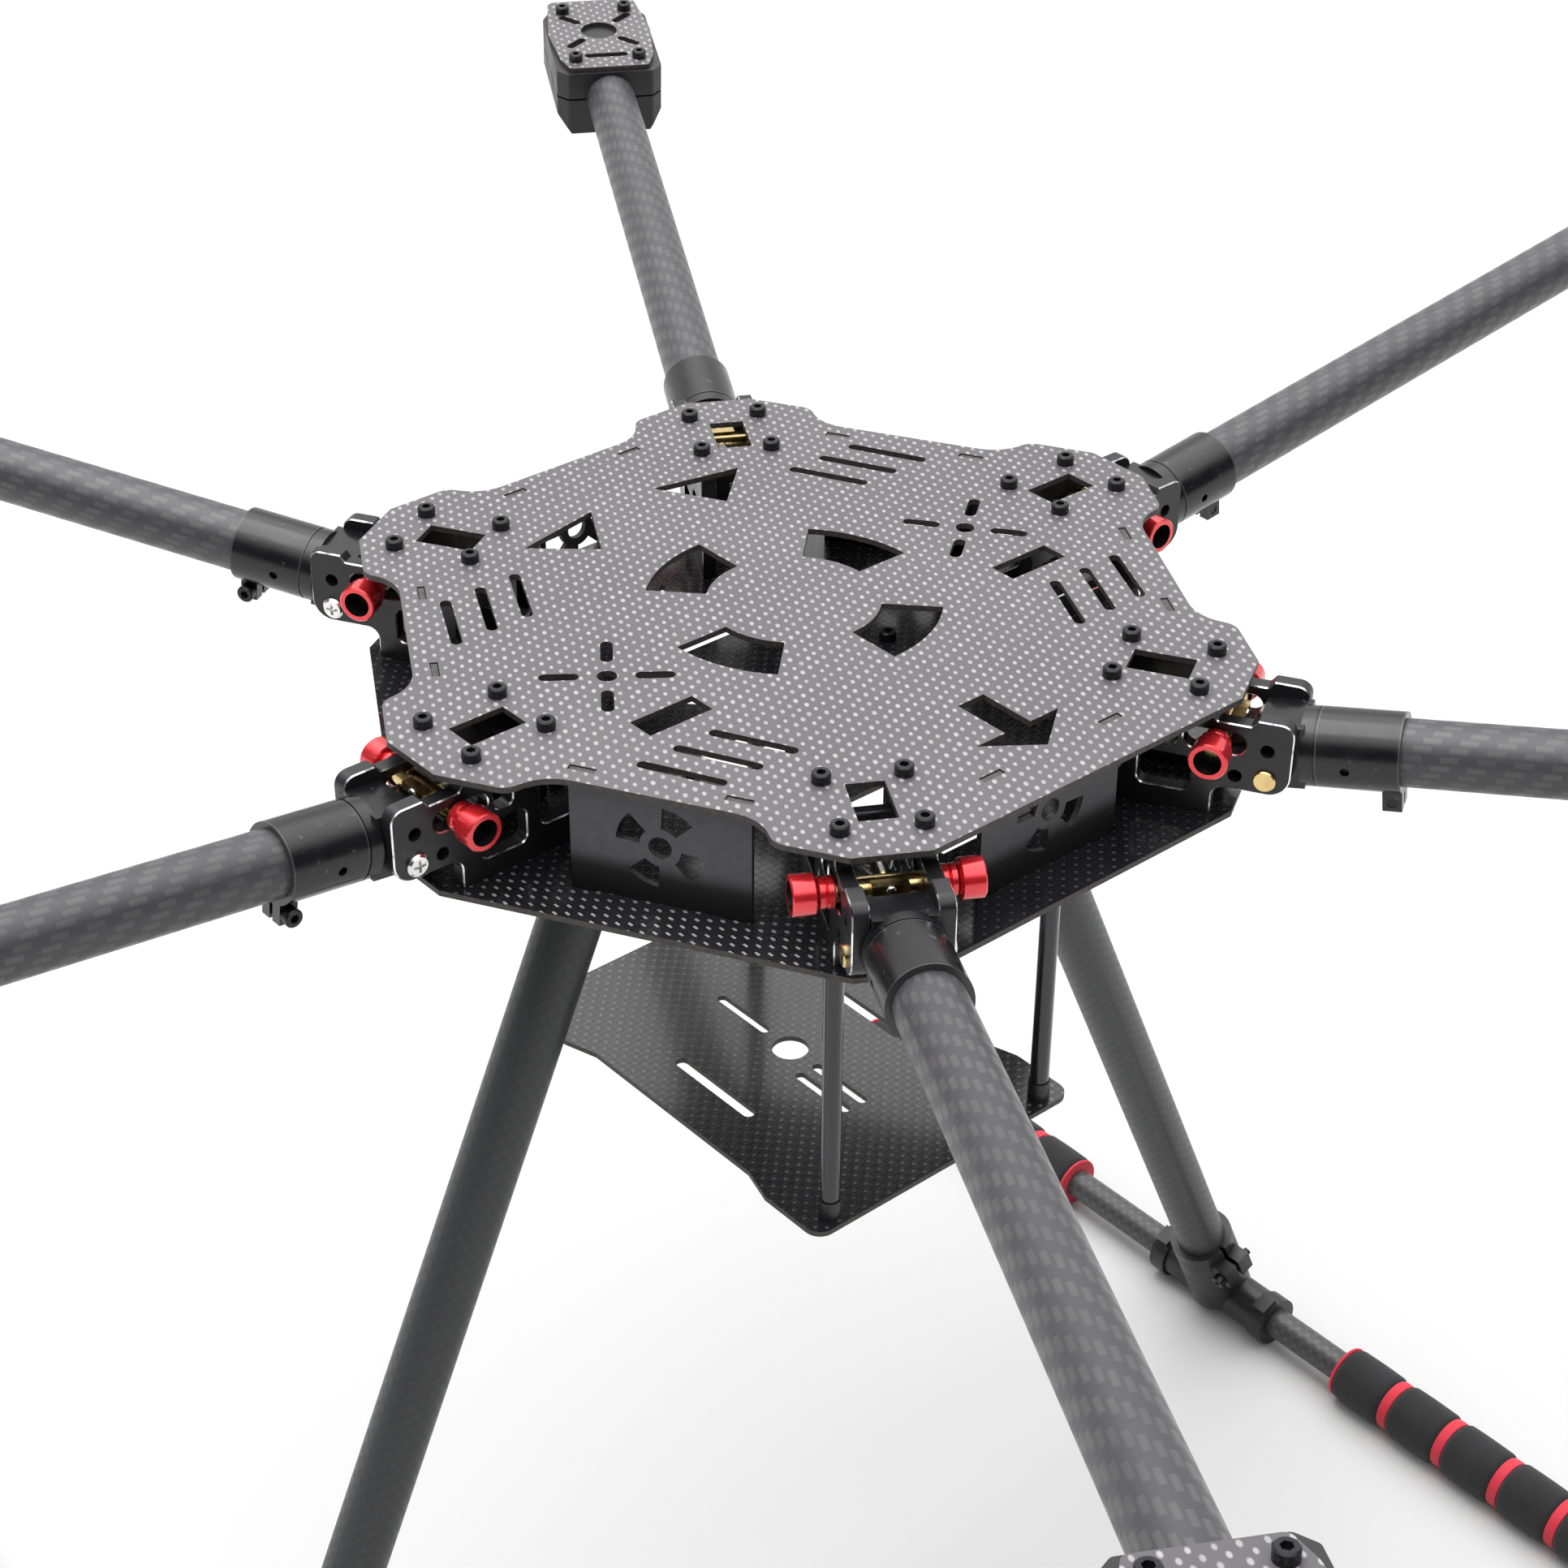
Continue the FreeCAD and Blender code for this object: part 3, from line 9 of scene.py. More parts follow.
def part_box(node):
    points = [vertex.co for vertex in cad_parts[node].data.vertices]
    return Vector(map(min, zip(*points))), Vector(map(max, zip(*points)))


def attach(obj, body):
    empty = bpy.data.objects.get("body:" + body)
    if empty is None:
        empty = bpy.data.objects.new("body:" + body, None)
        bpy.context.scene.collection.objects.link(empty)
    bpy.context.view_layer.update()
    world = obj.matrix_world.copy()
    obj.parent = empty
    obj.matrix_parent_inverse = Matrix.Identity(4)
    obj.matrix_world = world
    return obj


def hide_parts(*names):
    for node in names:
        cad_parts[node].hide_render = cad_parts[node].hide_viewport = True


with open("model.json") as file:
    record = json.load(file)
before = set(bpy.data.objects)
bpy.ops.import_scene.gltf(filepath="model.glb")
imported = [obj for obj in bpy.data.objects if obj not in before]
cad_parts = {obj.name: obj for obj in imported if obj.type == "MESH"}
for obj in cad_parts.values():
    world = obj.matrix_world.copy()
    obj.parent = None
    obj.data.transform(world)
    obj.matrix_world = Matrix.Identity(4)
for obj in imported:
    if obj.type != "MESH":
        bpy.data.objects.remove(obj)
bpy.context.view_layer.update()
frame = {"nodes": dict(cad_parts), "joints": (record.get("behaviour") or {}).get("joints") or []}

# The looks of a bare folding hexacopter airframe.  Metres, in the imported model's frame:
# +Z up, -Y the front.  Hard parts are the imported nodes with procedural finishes; the
# foam grips, latch screws and stud threads are built here.

NODES = frame["nodes"]

MM = 0.001
RISE = math.radians(7.0)         # a locked arm rises above level
TUBE_LIFT = 3.7 * MM             # arm tube axis above the hinge pin
TUBE_RADIUS = 8.0 * MM
LEG_SPLAY = math.radians(24.4)
CAMERA_PLACE = Vector((-0.41275, -0.47637, 0.69520))
CAMERA_AZIMUTH = 40.716          # degrees from +Y towards +X
CAMERA_DOWN = 32.757
CAMERA_ROLL = 0.336
CAMERA_LENS = 68.405             # on a 36 mm wide sensor

CEILING_GLOW = 2.3
WALL_GLOW = 0.9
ROOM_GLOW = 0.05

UP = Vector((0, 0, 1))
X_AXIS = Vector((1, 0, 0))
Y_AXIS = Vector((0, 1, 0))


class Arm:
    """The frame of one arm at rest: outward, sideways (to the left) and the tube's axis."""

    def __init__(self, name, hinge):
        self.name = name
        self.hinge = hinge
        self.out = Vector((hinge.x, hinge.y, 0)).normalized()
        self.side = UP.cross(self.out)
        self.along = self.out * math.cos(RISE) + UP * math.sin(RISE)
        self.above = UP * math.cos(RISE) - self.out * math.sin(RISE)
        self.axis_point = hinge + self.above * TUBE_LIFT


ARMS = [Arm(joint["child"].replace("arm_", "", 1), Vector(joint["pos_m"]))
        for joint in frame["joints"] if joint["type"] == "hinge"]


# ------------------------------------------------------------------- material helpers

class NodeMaker:
    """Short ways to add nodes to a node tree."""

    def __init__(self, tree):
        self.tree = tree

    def link(self, value, target):
        """Joins a socket to an input, or stores a plain value there."""
        if isinstance(value, bpy.types.NodeSocket):
            self.tree.links.new(value, target)
        else:
            target.default_value = value

    def math(self, operation, *values):
        node = self.tree.nodes.new("ShaderNodeMath")
        node.operation = operation
        for value, target in zip(values, node.inputs):
            self.link(value, target)
        return node.outputs[0]

    def dot(self, vector, direction, origin=Vector((0, 0, 0))):
        """How far a place lies along a fixed direction from a fixed origin."""
        node = self.tree.nodes.new("ShaderNodeVectorMath")
        node.operation = "DOT_PRODUCT"
        self.link(vector, node.inputs[0])
        node.inputs[1].default_value = direction
        return self.math("SUBTRACT", node.outputs["Value"], origin.dot(direction))

    def smooth(self, value, low, high, to_low=0.0, to_high=1.0):
        node = self.tree.nodes.new("ShaderNodeMapRange")
        node.interpolation_type = "SMOOTHSTEP"
        for target, item in zip(node.inputs[:5], (value, low, high, to_low, to_high)):
            self.link(item, target)
        return node.outputs[0]

    def mix(self, factor, first, second):
        node = self.tree.nodes.new("ShaderNodeMix")
        node.data_type = "RGBA"
        self.link(factor, node.inputs[0])
        for item, target in ((first, node.inputs[6]), (second, node.inputs[7])):
            self.link((*item, 1.0) if isinstance(item, tuple) else item, target)
        return node.outputs[2]

    def noise(self, place, scale, detail=3.0, roughness=0.55):
        node = self.tree.nodes.new("ShaderNodeTexNoise")
        self.link(place, node.inputs["Vector"])
        node.inputs["Scale"].default_value = scale
        node.inputs["Detail"].default_value = detail
        node.inputs["Roughness"].default_value = roughness
        return node.outputs["Fac"]

    def random(self, *cells):
        """A steady random number from 0 to 1 for each whole-numbered cell."""
        join = self.tree.nodes.new("ShaderNodeCombineXYZ")
        for value, target in zip(cells, join.inputs):
            self.link(value, target)
        node = self.tree.nodes.new("ShaderNodeTexWhiteNoise")
        self.link(join.outputs[0], node.inputs["Vector"])
        return node.outputs["Value"]


class Finish(NodeMaker):
    """A node material round one principled surface."""

    def __init__(self, name, colour, roughness, metallic=0.0, **extra):
        self.data = bpy.data.materials.new(name)
        self.data.use_nodes = True
        super().__init__(self.data.node_tree)
        self.surface = self.tree.nodes["Principled BSDF"]
        self.set("Base Color", (*colour, 1.0))
        self.set("Roughness", roughness)
        self.set("Metallic", metallic)
        for key, value in extra.items():
            self.set(key.replace("_", " "), value)

    def set(self, name, value):
        self.link(value, self.surface.inputs[name])

    def place(self):
        return self.tree.nodes.new("ShaderNodeTexCoord").outputs["Object"]

    def bump(self, height, distance, strength=1.0):
        node = self.tree.nodes.new("ShaderNodeBump")
        node.inputs["Strength"].default_value = strength
        node.inputs["Distance"].default_value = distance
        self.link(height, node.inputs["Height"])
        self.set("Normal", node.outputs["Normal"])

    def worn(self, place, roughness, spread, scale):
        """Uneven gloss, as handling and polishing leave it."""
        self.set("Roughness", self.smooth(self.noise(place, scale), 0.3, 0.7,
                                          roughness - spread, roughness + spread))


# --------------------------------------------------------------------- carbon finishes

def dotted_deck(name):
    """Satin laminate with a slanting square grid of pale dots."""
    dot_pitch = 2.896 * MM
    grid_turn = math.radians(14.8)
    f = Finish(name, (0.13, 0.124, 0.128), 0.42)
    place = f.place()
    across = Vector((math.cos(grid_turn), math.sin(grid_turn), 0))
    along = Vector((-math.sin(grid_turn), math.cos(grid_turn), 0))
    p = f.math("DIVIDE", f.dot(place, across), dot_pitch)
    q = f.math("DIVIDE", f.dot(place, along), dot_pitch)
    cell_p = f.math("FLOOR", p)
    cell_q = f.math("FLOOR", q)
    shift = f.math("MULTIPLY", f.math("SUBTRACT", f.random(cell_p, cell_q), 0.5), 0.14)
    x = f.math("ADD", f.math("SUBTRACT", f.math("FRACT", p), 0.5), shift)
    y = f.math("SUBTRACT", f.math("SUBTRACT", f.math("FRACT", q), 0.5), shift)
    long_way = f.math("DIVIDE", f.math("ADD", x, y), 0.43)
    short_way = f.math("DIVIDE", f.math("SUBTRACT", x, y), 0.265)
    far = f.math("SQRT", f.math("ADD", f.math("MULTIPLY", long_way, long_way),
                                f.math("MULTIPLY", short_way, short_way)))
    size = f.math("MULTIPLY_ADD", f.random(cell_q, cell_p, 7.0), 0.24, 0.9)
    dot = f.smooth(f.math("DIVIDE", far, size), 1.15, 0.6)
    strength = f.math("MULTIPLY_ADD", f.random(cell_p, cell_q, 3.0), 0.3, 0.7)
    tone = f.noise(place, 9.0)
    ground = f.mix(f.smooth(tone, 0.3, 0.7), (0.086, 0.082, 0.086), (0.105, 0.1, 0.104))
    f.set("Base Color", f.mix(f.math("MULTIPLY", dot, strength), ground, (0.36, 0.355, 0.355)))
    yarn_pitch = 0.967 * MM
    slant = f.dot(place, Vector((1, 1, 0)).normalized())
    yarn = f.math("SINE", f.math("MULTIPLY", slant, 2 * math.pi / yarn_pitch))
    height = f.math("MULTIPLY_ADD", dot, 1.0, f.math("MULTIPLY", yarn, 0.05))
    f.bump(height, 0.04 * MM, 0.5)
    f.worn(place, 0.42, 0.06, 60.0)
    return f.data


def woven(f, across, along, tow, twill):
    """Over-and-under tows: returns (1 where the long tow is on top, crown height)."""
    i = f.math("FLOOR", f.math("DIVIDE", across, tow))
    j = f.math("FLOOR", f.math("DIVIDE", along, tow))
    fx = f.math("FRACT", f.math("DIVIDE", across, tow))
    fy = f.math("FRACT", f.math("DIVIDE", along, tow))
    if twill:
        step = f.math("FLOORED_MODULO", f.math("SUBTRACT", j, i), 4.0)
        over = f.math("LESS_THAN", step, 1.5)
    else:
        step = f.math("FLOORED_MODULO", f.math("ADD", i, j), 2.0)
        over = f.math("LESS_THAN", step, 0.5)
    crown_x = f.math("SINE", f.math("MULTIPLY", fx, math.pi))
    crown_y = f.math("SINE", f.math("MULTIPLY", fy, math.pi))
    first = f.math("MULTIPLY", over, crown_x)
    second = f.math("MULTIPLY", f.math("SUBTRACT", 1.0, over), crown_y)
    return over, f.math("ADD", first, second), crown_x, crown_y


def glossy_laminate(name, painted_glint_strip=False):
    """Glossy black plain weave of level plates; the crowns of one set of tows carry painted highlights
    in the base colour.

    With painted_glint_strip, long painted highlight dashes run along the front left side of the plate.
    """
    tow = 2.05 * MM
    # colour of the painted highlights on the tow crowns
    painted_highlight_tone = (0.17, 0.165, 0.155)
    f = Finish(name, (0.012, 0.012, 0.014), 0.2, Coat_Weight=0.6, Coat_Roughness=0.12)
    place = f.place()
    across = f.dot(place, X_AXIS)
    along = f.dot(place, Y_AXIS)
    over, crown, crown_x, crown_y = woven(f, across, along, tow, twill=False)
    top = f.math("MULTIPLY", over, f.math("MULTIPLY", crown_x, crown_y))
    # painted highlight on the crowns of the upper tows
    painted_crown_glint = f.smooth(top, 0.45, 0.95)
    patch = f.smooth(f.noise(place, 26.0), 0.35, 0.65, 0.45, 1.0)
    if painted_glint_strip:
        front_left = Vector((-math.sqrt(3) / 2, -0.5, 0))
        outward = f.dot(place, front_left)
        off_middle = f.math("ABSOLUTE", f.dot(place, UP.cross(front_left)))
        # painted glint: the dashes are brighter in a band along the front left side
        glint_strip_mask = f.math("MULTIPLY", f.smooth(outward, 82 * MM, 96 * MM),
                       f.smooth(off_middle, 46 * MM, 34 * MM))
        thin = f.math("MULTIPLY", f.smooth(crown_x, 0.8, 0.97), f.smooth(crown_y, 0.3, 0.7))
        painted_crown_glint = f.mix(glint_strip_mask, painted_crown_glint, f.math("MULTIPLY", over, thin))
        painted_highlight_tone = f.mix(glint_strip_mask, (0.11, 0.11, 0.112), (0.55, 0.54, 0.52))
    under = f.mix(over, (0.018, 0.018, 0.021), (0.012, 0.012, 0.014))
    # the base colour carries the painted highlights over the two tow tones
    f.set("Base Color", f.mix(f.math("MULTIPLY", painted_crown_glint, patch), under, painted_highlight_tone))
    f.set("Roughness", f.smooth(crown, 0.0, 1.0, 0.34, 0.2))
    f.bump(crown, 0.05 * MM, 0.35)
    return f.data


def panel_laminate(name):
    """Upright glossy panels: fine level yarns; a painted reflection makes the band under the top plate
    paler, and below it the panel is painted near black as shade.
    """
    f = Finish(name, (0.03, 0.03, 0.032), 0.35, Specular_IOR_Level=0.3)
    place = f.place()
    yarn_pitch = 1.0 * MM
    below_top = f.dot(place, UP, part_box("top_plate")[1])
    # painted reflection: paler band just under the top plate, the rest painted near black as shade
    pale = f.smooth(below_top, -25 * MM, -20 * MM)
    yarn = f.math("SINE", f.math("MULTIPLY", below_top, 2 * math.pi / yarn_pitch))
    streak = f.smooth(f.noise(place, 420.0), 0.3, 0.7, 0.85, 1.15)
    level = f.math("MULTIPLY", f.math("MULTIPLY_ADD", yarn, 0.06, 1.0), streak)
    light = f.mix(f.math("MULTIPLY", level, 0.5), (0.03, 0.03, 0.033), (0.12, 0.12, 0.128))
    f.set("Base Color", f.mix(pale, (0.009, 0.009, 0.01), light))
    f.bump(yarn, 0.01 * MM, 0.2)
    return f.data


def cut_edge(name):
    """Sawn edge of a laminate: brownish grey with thin layers."""
    f = Finish(name, (0.1, 0.09, 0.085), 0.6)
    place = f.place()
    layer_pitch = 0.3 * MM
    layer = f.math("SINE", f.math("MULTIPLY", f.dot(place, UP), 2 * math.pi / layer_pitch))
    speck = f.noise(place, 900.0)
    tone = f.math("ADD", f.math("MULTIPLY", layer, 0.12), speck)
    f.set("Base Color", f.mix(f.smooth(tone, 0.3, 0.8), (0.03, 0.027, 0.026), (0.07, 0.064, 0.06)))
    f.bump(speck, 0.03 * MM, 0.4)
    return f.data


def tube_weave(name, origin, along, above, radius, tow, twill, dark, light, gloss, relief=0.4):
    """Woven carbon wrapped round a tube; the pattern is in arc length and length, and its floats are
    lighter in the base colour as painted sheen.
    """
    f = Finish(name, dark, gloss)
    place = f.place()
    side = along.cross(above) * -1
    length = f.dot(place, along, origin)
    turn = f.math("ARCTAN2", f.dot(place, side, origin), f.dot(place, above, origin))
    count = round(2 * math.pi * radius / tow / 4) * 4
    arc = f.math("MULTIPLY", turn, tow * count / (2 * math.pi))
    over, crown, crown_x, crown_y = woven(f, arc, length, tow, twill)
    # the weave is real; the lighter floats are painted sheen along the tows
    float_sheen_mask = f.math("MULTIPLY", over, f.smooth(crown_x, 0.15, 0.9))
    if not twill:
        float_sheen_mask = f.math("MULTIPLY", float_sheen_mask, f.smooth(crown_y, 0.15, 0.9))
    patch = f.smooth(f.noise(place, 45.0), 0.3, 0.7, 0.6, 1.0)
    f.set("Base Color", f.mix(f.math("MULTIPLY", float_sheen_mask, patch), dark, light))
    fibre = f.noise(place, 2600.0, 1.0)
    f.set("Roughness", f.math("MULTIPLY_ADD", over, -0.07, gloss + 0.04))
    height = f.math("MULTIPLY_ADD", fibre, 0.15, crown)
    f.bump(height, 0.035 * MM, relief)
    return f.data


# ------------------------------------------------------------ metal, plastic and foam

def black_anodised(name, tone=0.012, roughness=0.34):
    f = Finish(name, (tone, tone, tone * 1.15), roughness, Specular_IOR_Level=0.45)
    place = f.place()
    f.worn(place, roughness, 0.07, 130.0)
    blast = f.noise(place, 5200.0, 2.0)
    f.bump(blast, 0.006 * MM, 0.5)
    return f.data


def bright_bevel(name):
    """Edges cut after the anodising, so that bare metal shows."""
    f = Finish(name, (0.86, 0.86, 0.87), 0.24, 1.0)
    place = f.place()
    f.set("Base Color", f.mix(f.smooth(f.noise(place, 220.0), 0.34, 0.5),
                              (0.25, 0.25, 0.26), (0.9, 0.9, 0.91)))
    f.worn(place, 0.24, 0.08, 300.0)
    return f.data


def turned_sleeve(name, arm):
    """Satin black sleeve with faint lathe rings, rubbed marks and a pale line at each end."""
    black = (0.007, 0.007, 0.008)
    f = Finish(name, black, 0.24, Specular_IOR_Level=0.5)
    place = f.place()
    length = f.dot(place, arm.along, arm.axis_point)
    feed = 0.22 * MM
    line_places = (11.3 * MM, 30.4 * MM)
    rings = f.math("SINE", f.math("MULTIPLY", length, 2 * math.pi / feed))
    blast = f.noise(place, 3200.0, 2.0)
    rub = f.smooth(f.noise(place, 480.0, 4.0), 0.64, 0.74)
    worn_tone = f.mix(f.math("MULTIPLY", rub, 0.35), black, (0.16, 0.16, 0.165))
    lines = [f.smooth(f.math("ABSOLUTE", f.math("SUBTRACT", length, spot)), 0.3 * MM, 0.12 * MM)
             for spot in line_places]
    f.set("Base Color", f.mix(f.math("MAXIMUM", *lines), worn_tone, (0.05, 0.05, 0.052)))
    f.worn(place, 0.24, 0.05, 160.0)
    f.bump(f.math("MULTIPLY_ADD", rings, 0.25, blast), 0.008 * MM, 0.5)
    return f.data


def red_anodised(name):
    f = Finish(name, (0.8, 0.02, 0.03), 0.27, 0.6, Coat_Weight=1.0, Coat_Roughness=0.14)
    place = f.place()
    f.set("Base Color", f.mix(f.smooth(f.noise(place, 90.0), 0.3, 0.7),
                              (0.74, 0.015, 0.025), (0.86, 0.03, 0.042)))
    f.worn(place, 0.27, 0.05, 400.0)
    return f.data


def turned_metal(name, colour, dull, roughness, scale=160.0):
    """Bare metal, a little uneven in colour and gloss."""
    f = Finish(name, colour, roughness, 1.0)
    place = f.place()
    f.set("Base Color", f.mix(f.smooth(f.noise(place, scale), 0.3, 0.72), dull, colour))
    f.worn(place, roughness, 0.07, scale * 3)
    f.bump(f.noise(place, 3000.0, 2.0), 0.004 * MM, 0.4)
    return f.data


def dark_gloss(name):
    """Smooth black-coated metal of the posts."""
    f = Finish(name, (0.03, 0.03, 0.033), 0.2, 0.6, Coat_Weight=0.5, Coat_Roughness=0.1)
    place = f.place()
    f.worn(place, 0.2, 0.05, 240.0)
    f.bump(f.noise(place, 2500.0, 2.0), 0.005 * MM, 0.4)
    return f.data


def black_oxide(name):
    f = Finish(name, (0.012, 0.012, 0.014), 0.3, 0.3)
    place = f.place()
    f.worn(place, 0.3, 0.08, 900.0)
    f.bump(f.noise(place, 4000.0, 2.0), 0.005 * MM, 0.5)
    return f.data


def moulded_plastic(name, tone=0.014):
    f = Finish(name, (tone, tone, tone * 1.1), 0.42)
    place = f.place()
    f.worn(place, 0.42, 0.07, 110.0)
    f.bump(f.noise(place, 1700.0, 3.0), 0.02 * MM, 0.45)
    return f.data


def foam_skin(name, colour, lighter, cell_scale, roughness=0.9):
    """Closed-cell foam: fine pits, softly uneven tone."""
    f = Finish(name, colour, roughness, Sheen_Weight=0.08, Sheen_Roughness=0.6)
    place = f.place()
    pits = f.noise(place, cell_scale, 4.0, 0.7)
    broad = f.noise(place, 70.0)
    f.set("Base Color", f.mix(f.smooth(f.math("MULTIPLY", f.math("ADD", pits, broad), 0.5), 0.35, 0.65),
                              colour, lighter))
    f.bump(pits, 0.12 * MM, 0.5)
    return f.data


# ----------------------------------------------------------------------- mesh helpers

def paint(node, finish, chooser=None, extra=None):
    """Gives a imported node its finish; faces that chooser picks take the extra finish."""
    thing = NODES[node]
    thing.data.materials.clear()
    thing.data.materials.append(finish)
    if extra:
        thing.data.materials.append(extra)
    for face in thing.data.polygons:
        face.material_index = int(bool(extra) and chooser(face))


def lathe(name, profile, origin, axis, segments=40):
    """A turned mesh from (distance along the axis, radius) pairs, closed at radius 0."""
    axis = axis.normalized()
    first = axis.orthogonal().normalized()
    second = axis.cross(first)
    mesh = bmesh.new()
    rings = []
    for along, radius in profile:
        centre = origin + axis * along
        if radius == 0:
            rings.append([mesh.verts.new(centre)])
            continue
        turns = [2 * math.pi * k / segments for k in range(segments)]
        rings.append([mesh.verts.new(centre + radius * (first * math.cos(a) + second * math.sin(a)))
                      for a in turns])
    for inner, outer in zip(rings, rings[1:]):
        for k in range(segments):
            a, b = inner[k % len(inner)], inner[(k + 1) % len(inner)]
            c, d = outer[(k + 1) % len(outer)], outer[k % len(outer)]
            corners = list(dict.fromkeys((a, b, c, d)))
            if len(corners) > 2:
                mesh.faces.new(corners)
    bmesh.ops.recalc_face_normals(mesh, faces=mesh.faces)
    data = bpy.data.meshes.new(name)
    mesh.to_mesh(data)
    mesh.free()
    for face in data.polygons:
        face.use_smooth = True
    thing = bpy.data.objects.new(name, data)
    bpy.context.scene.collection.objects.link(thing)
    return thing


def join(name, things):
    """Makes one object of several, under a new name."""
    bpy.ops.object.select_all(action="DESELECT")
    for thing in things:
        thing.select_set(True)
    bpy.context.view_layer.objects.active = things[0]
    bpy.ops.object.join()
    things[0].name = name
    return things[0]


def finish_piece(thing, finish, body, slot, *stands_for):
    thing.data.materials.clear()
    thing.data.materials.append(finish)
    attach(thing, body)
    if stands_for:
        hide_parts(*stands_for)
    return thing


# ----------------------------------------------------------------------------- the hub

def nearest_arm(point):
    return max(ARMS, key=lambda arm: arm.out.dot(point))


def is_edge_of_level_plate(face):
    return abs(face.normal.z) < 0.7


def is_panel_rim(face):
    """Everything but the two broad faces, which point out from the middle of the hub."""
    turn = math.degrees(math.atan2(face.normal.y, face.normal.x)) % 60
    return abs(turn - 30) > 2 or abs(face.normal.z) > 0.1


def is_bracket_bevel(face):
    """The narrow faces between a bracket's flat side and its rim."""
    lean = abs(face.normal.dot(nearest_arm(face.center).side))
    return 0.4 < lean < 0.92


def shared_finishes():
    """Finishes that several bodies use, by the name of the record's slot."""
    return {
        "deck_carbon": dotted_deck("deck_carbon"),
        "laminate_edge": cut_edge("laminate_edge"),
        "black_steel": black_oxide("black_steel"),
        "brass": turned_metal("brass", (0.80, 0.61, 0.29), (0.66, 0.48, 0.21), 0.22),
        "nickel": turned_metal("nickel", (0.88, 0.87, 0.85), (0.7, 0.69, 0.67), 0.2),
        "black_plastic": moulded_plastic("black_plastic"),
    }


def dress_hub(shared):
    edge = shared["laminate_edge"]
    paint("top_plate", shared["deck_carbon"], is_edge_of_level_plate, edge)
    # the bottom plate gets a painted glint strip of highlight dashes along its front left side
    paint("bottom_plate", glossy_laminate("base_carbon", painted_glint_strip=True),
          is_edge_of_level_plate, edge)
    paint("battery_plate", glossy_laminate("dark_carbon"), is_edge_of_level_plate, edge)

    paint("side_panels", panel_laminate("panel_carbon"), is_panel_rim, edge)

    black = black_anodised("black_alloy")
    paint("arm_brackets", black, is_bracket_bevel, bright_bevel("bevel_metal"))
    paint("spring_seats", black)
    paint("frame_screws", shared["black_steel"])
    paint("hinge_pins", shared["brass"])
    paint("hinge_screws", shared["nickel"])
    paint("latch_springs", turned_metal("zinc", (0.72, 0.74, 0.77), (0.5, 0.52, 0.55), 0.26))


# ---------------------------------------------------------------------------- the arms

def dress_arms(shared):
    red = red_anodised("red_alloy")
    # black finish painted into the knob bores as shade
    bore = black_oxide("knob_bore_painted_shade")
    thread = turned_metal("stud_steel", (0.36, 0.36, 0.37), (0.2, 0.2, 0.21), 0.3)
    for arm in ARMS:
        weave = tube_weave("arm_carbon_" + arm.name, arm.axis_point, arm.along, arm.above, TUBE_RADIUS,
                           2.08 * MM, True, (0.051, 0.05, 0.054), (0.086, 0.083, 0.084), 0.36)
        paint("arm_tube_" + arm.name, weave)
        paint("arm_knuckle_" + arm.name, turned_sleeve("sleeve_" + arm.name, arm))
        paint("motor_mount_" + arm.name, shared["black_plastic"])
        paint("motor_plate_" + arm.name, shared["deck_carbon"],
              lambda face: abs(face.normal.dot(arm.above)) < 0.9, shared["laminate_edge"])
        paint("arm_screws_" + arm.name, shared["black_steel"])
        paint("latch_knobs_" + arm.name, red, is_knob_bore(arm), bore)
        paint("latch_pin_" + arm.name, shared["brass"])
        add_latch_screw(arm, shared["nickel"])
        add_stud_thread(arm, thread)


def is_knob_bore(arm):
    """Picks the faces inside the hollow end of the knobs, which take a black finish as painted shade."""
    centre = latch_centre(arm)
    hollow = 3.25 * MM

    def chooser(face):
        away = face.center - centre
        away -= arm.side * away.dot(arm.side)
        return away.length < hollow or (
            face.normal.dot(away) < 0 and away.length < hollow + 0.1 * MM)
    return chooser


def latch_centre(arm):
    """Middle of the latch bar: its knobs lie the same distance to either side."""
    low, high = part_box("latch_knobs_" + arm.name)
    return (low + high) / 2


def add_latch_screw(arm, finish):
    """Small dome screw on the face of the brass catch plate."""
    forward = 4.5 * MM
    raised = 2.0 * MM
    radius = 1.15 * MM
    dome = 0.75 * MM
    sunk = 0.4 * MM
    face = latch_centre(arm) + arm.out * forward + UP * raised
    profile = [(-sunk, 0), (-sunk, radius)]
    profile += [(dome * math.sin(a), radius * math.cos(a) ** 0.8)
                for a in (0.0, 0.35, 0.7, 1.05, 1.3)]
    profile.append((dome, 0))
    screw = lathe("latch_screw_" + arm.name, profile, face, arm.out, 28)
    finish_piece(screw, finish, "latch_" + arm.name, "bright_steel")


def add_stud_thread(arm, finish):
    """The part of the stud between the spring and the bar shows its fine thread."""
    centre = latch_centre(arm)
    start = 7.9 * MM
    end = 2.7 * MM
    pitch = 0.45 * MM
    root = 1.905 * MM
    crest = 1.975 * MM
    turns = int((start - end) / pitch)
    profile = []
    for k in range(turns):
        profile.append((-start + k * pitch, root))
        profile.append((-start + (k + 0.5) * pitch, crest))
    profile.append((-start + turns * pitch, root))
    thread = lathe("stud_thread_" + arm.name, profile, centre, arm.out, 24)
    finish_piece(thread, finish, "latch_" + arm.name, "spring_steel")


# --------------------------------------------------------------- tray and landing gear

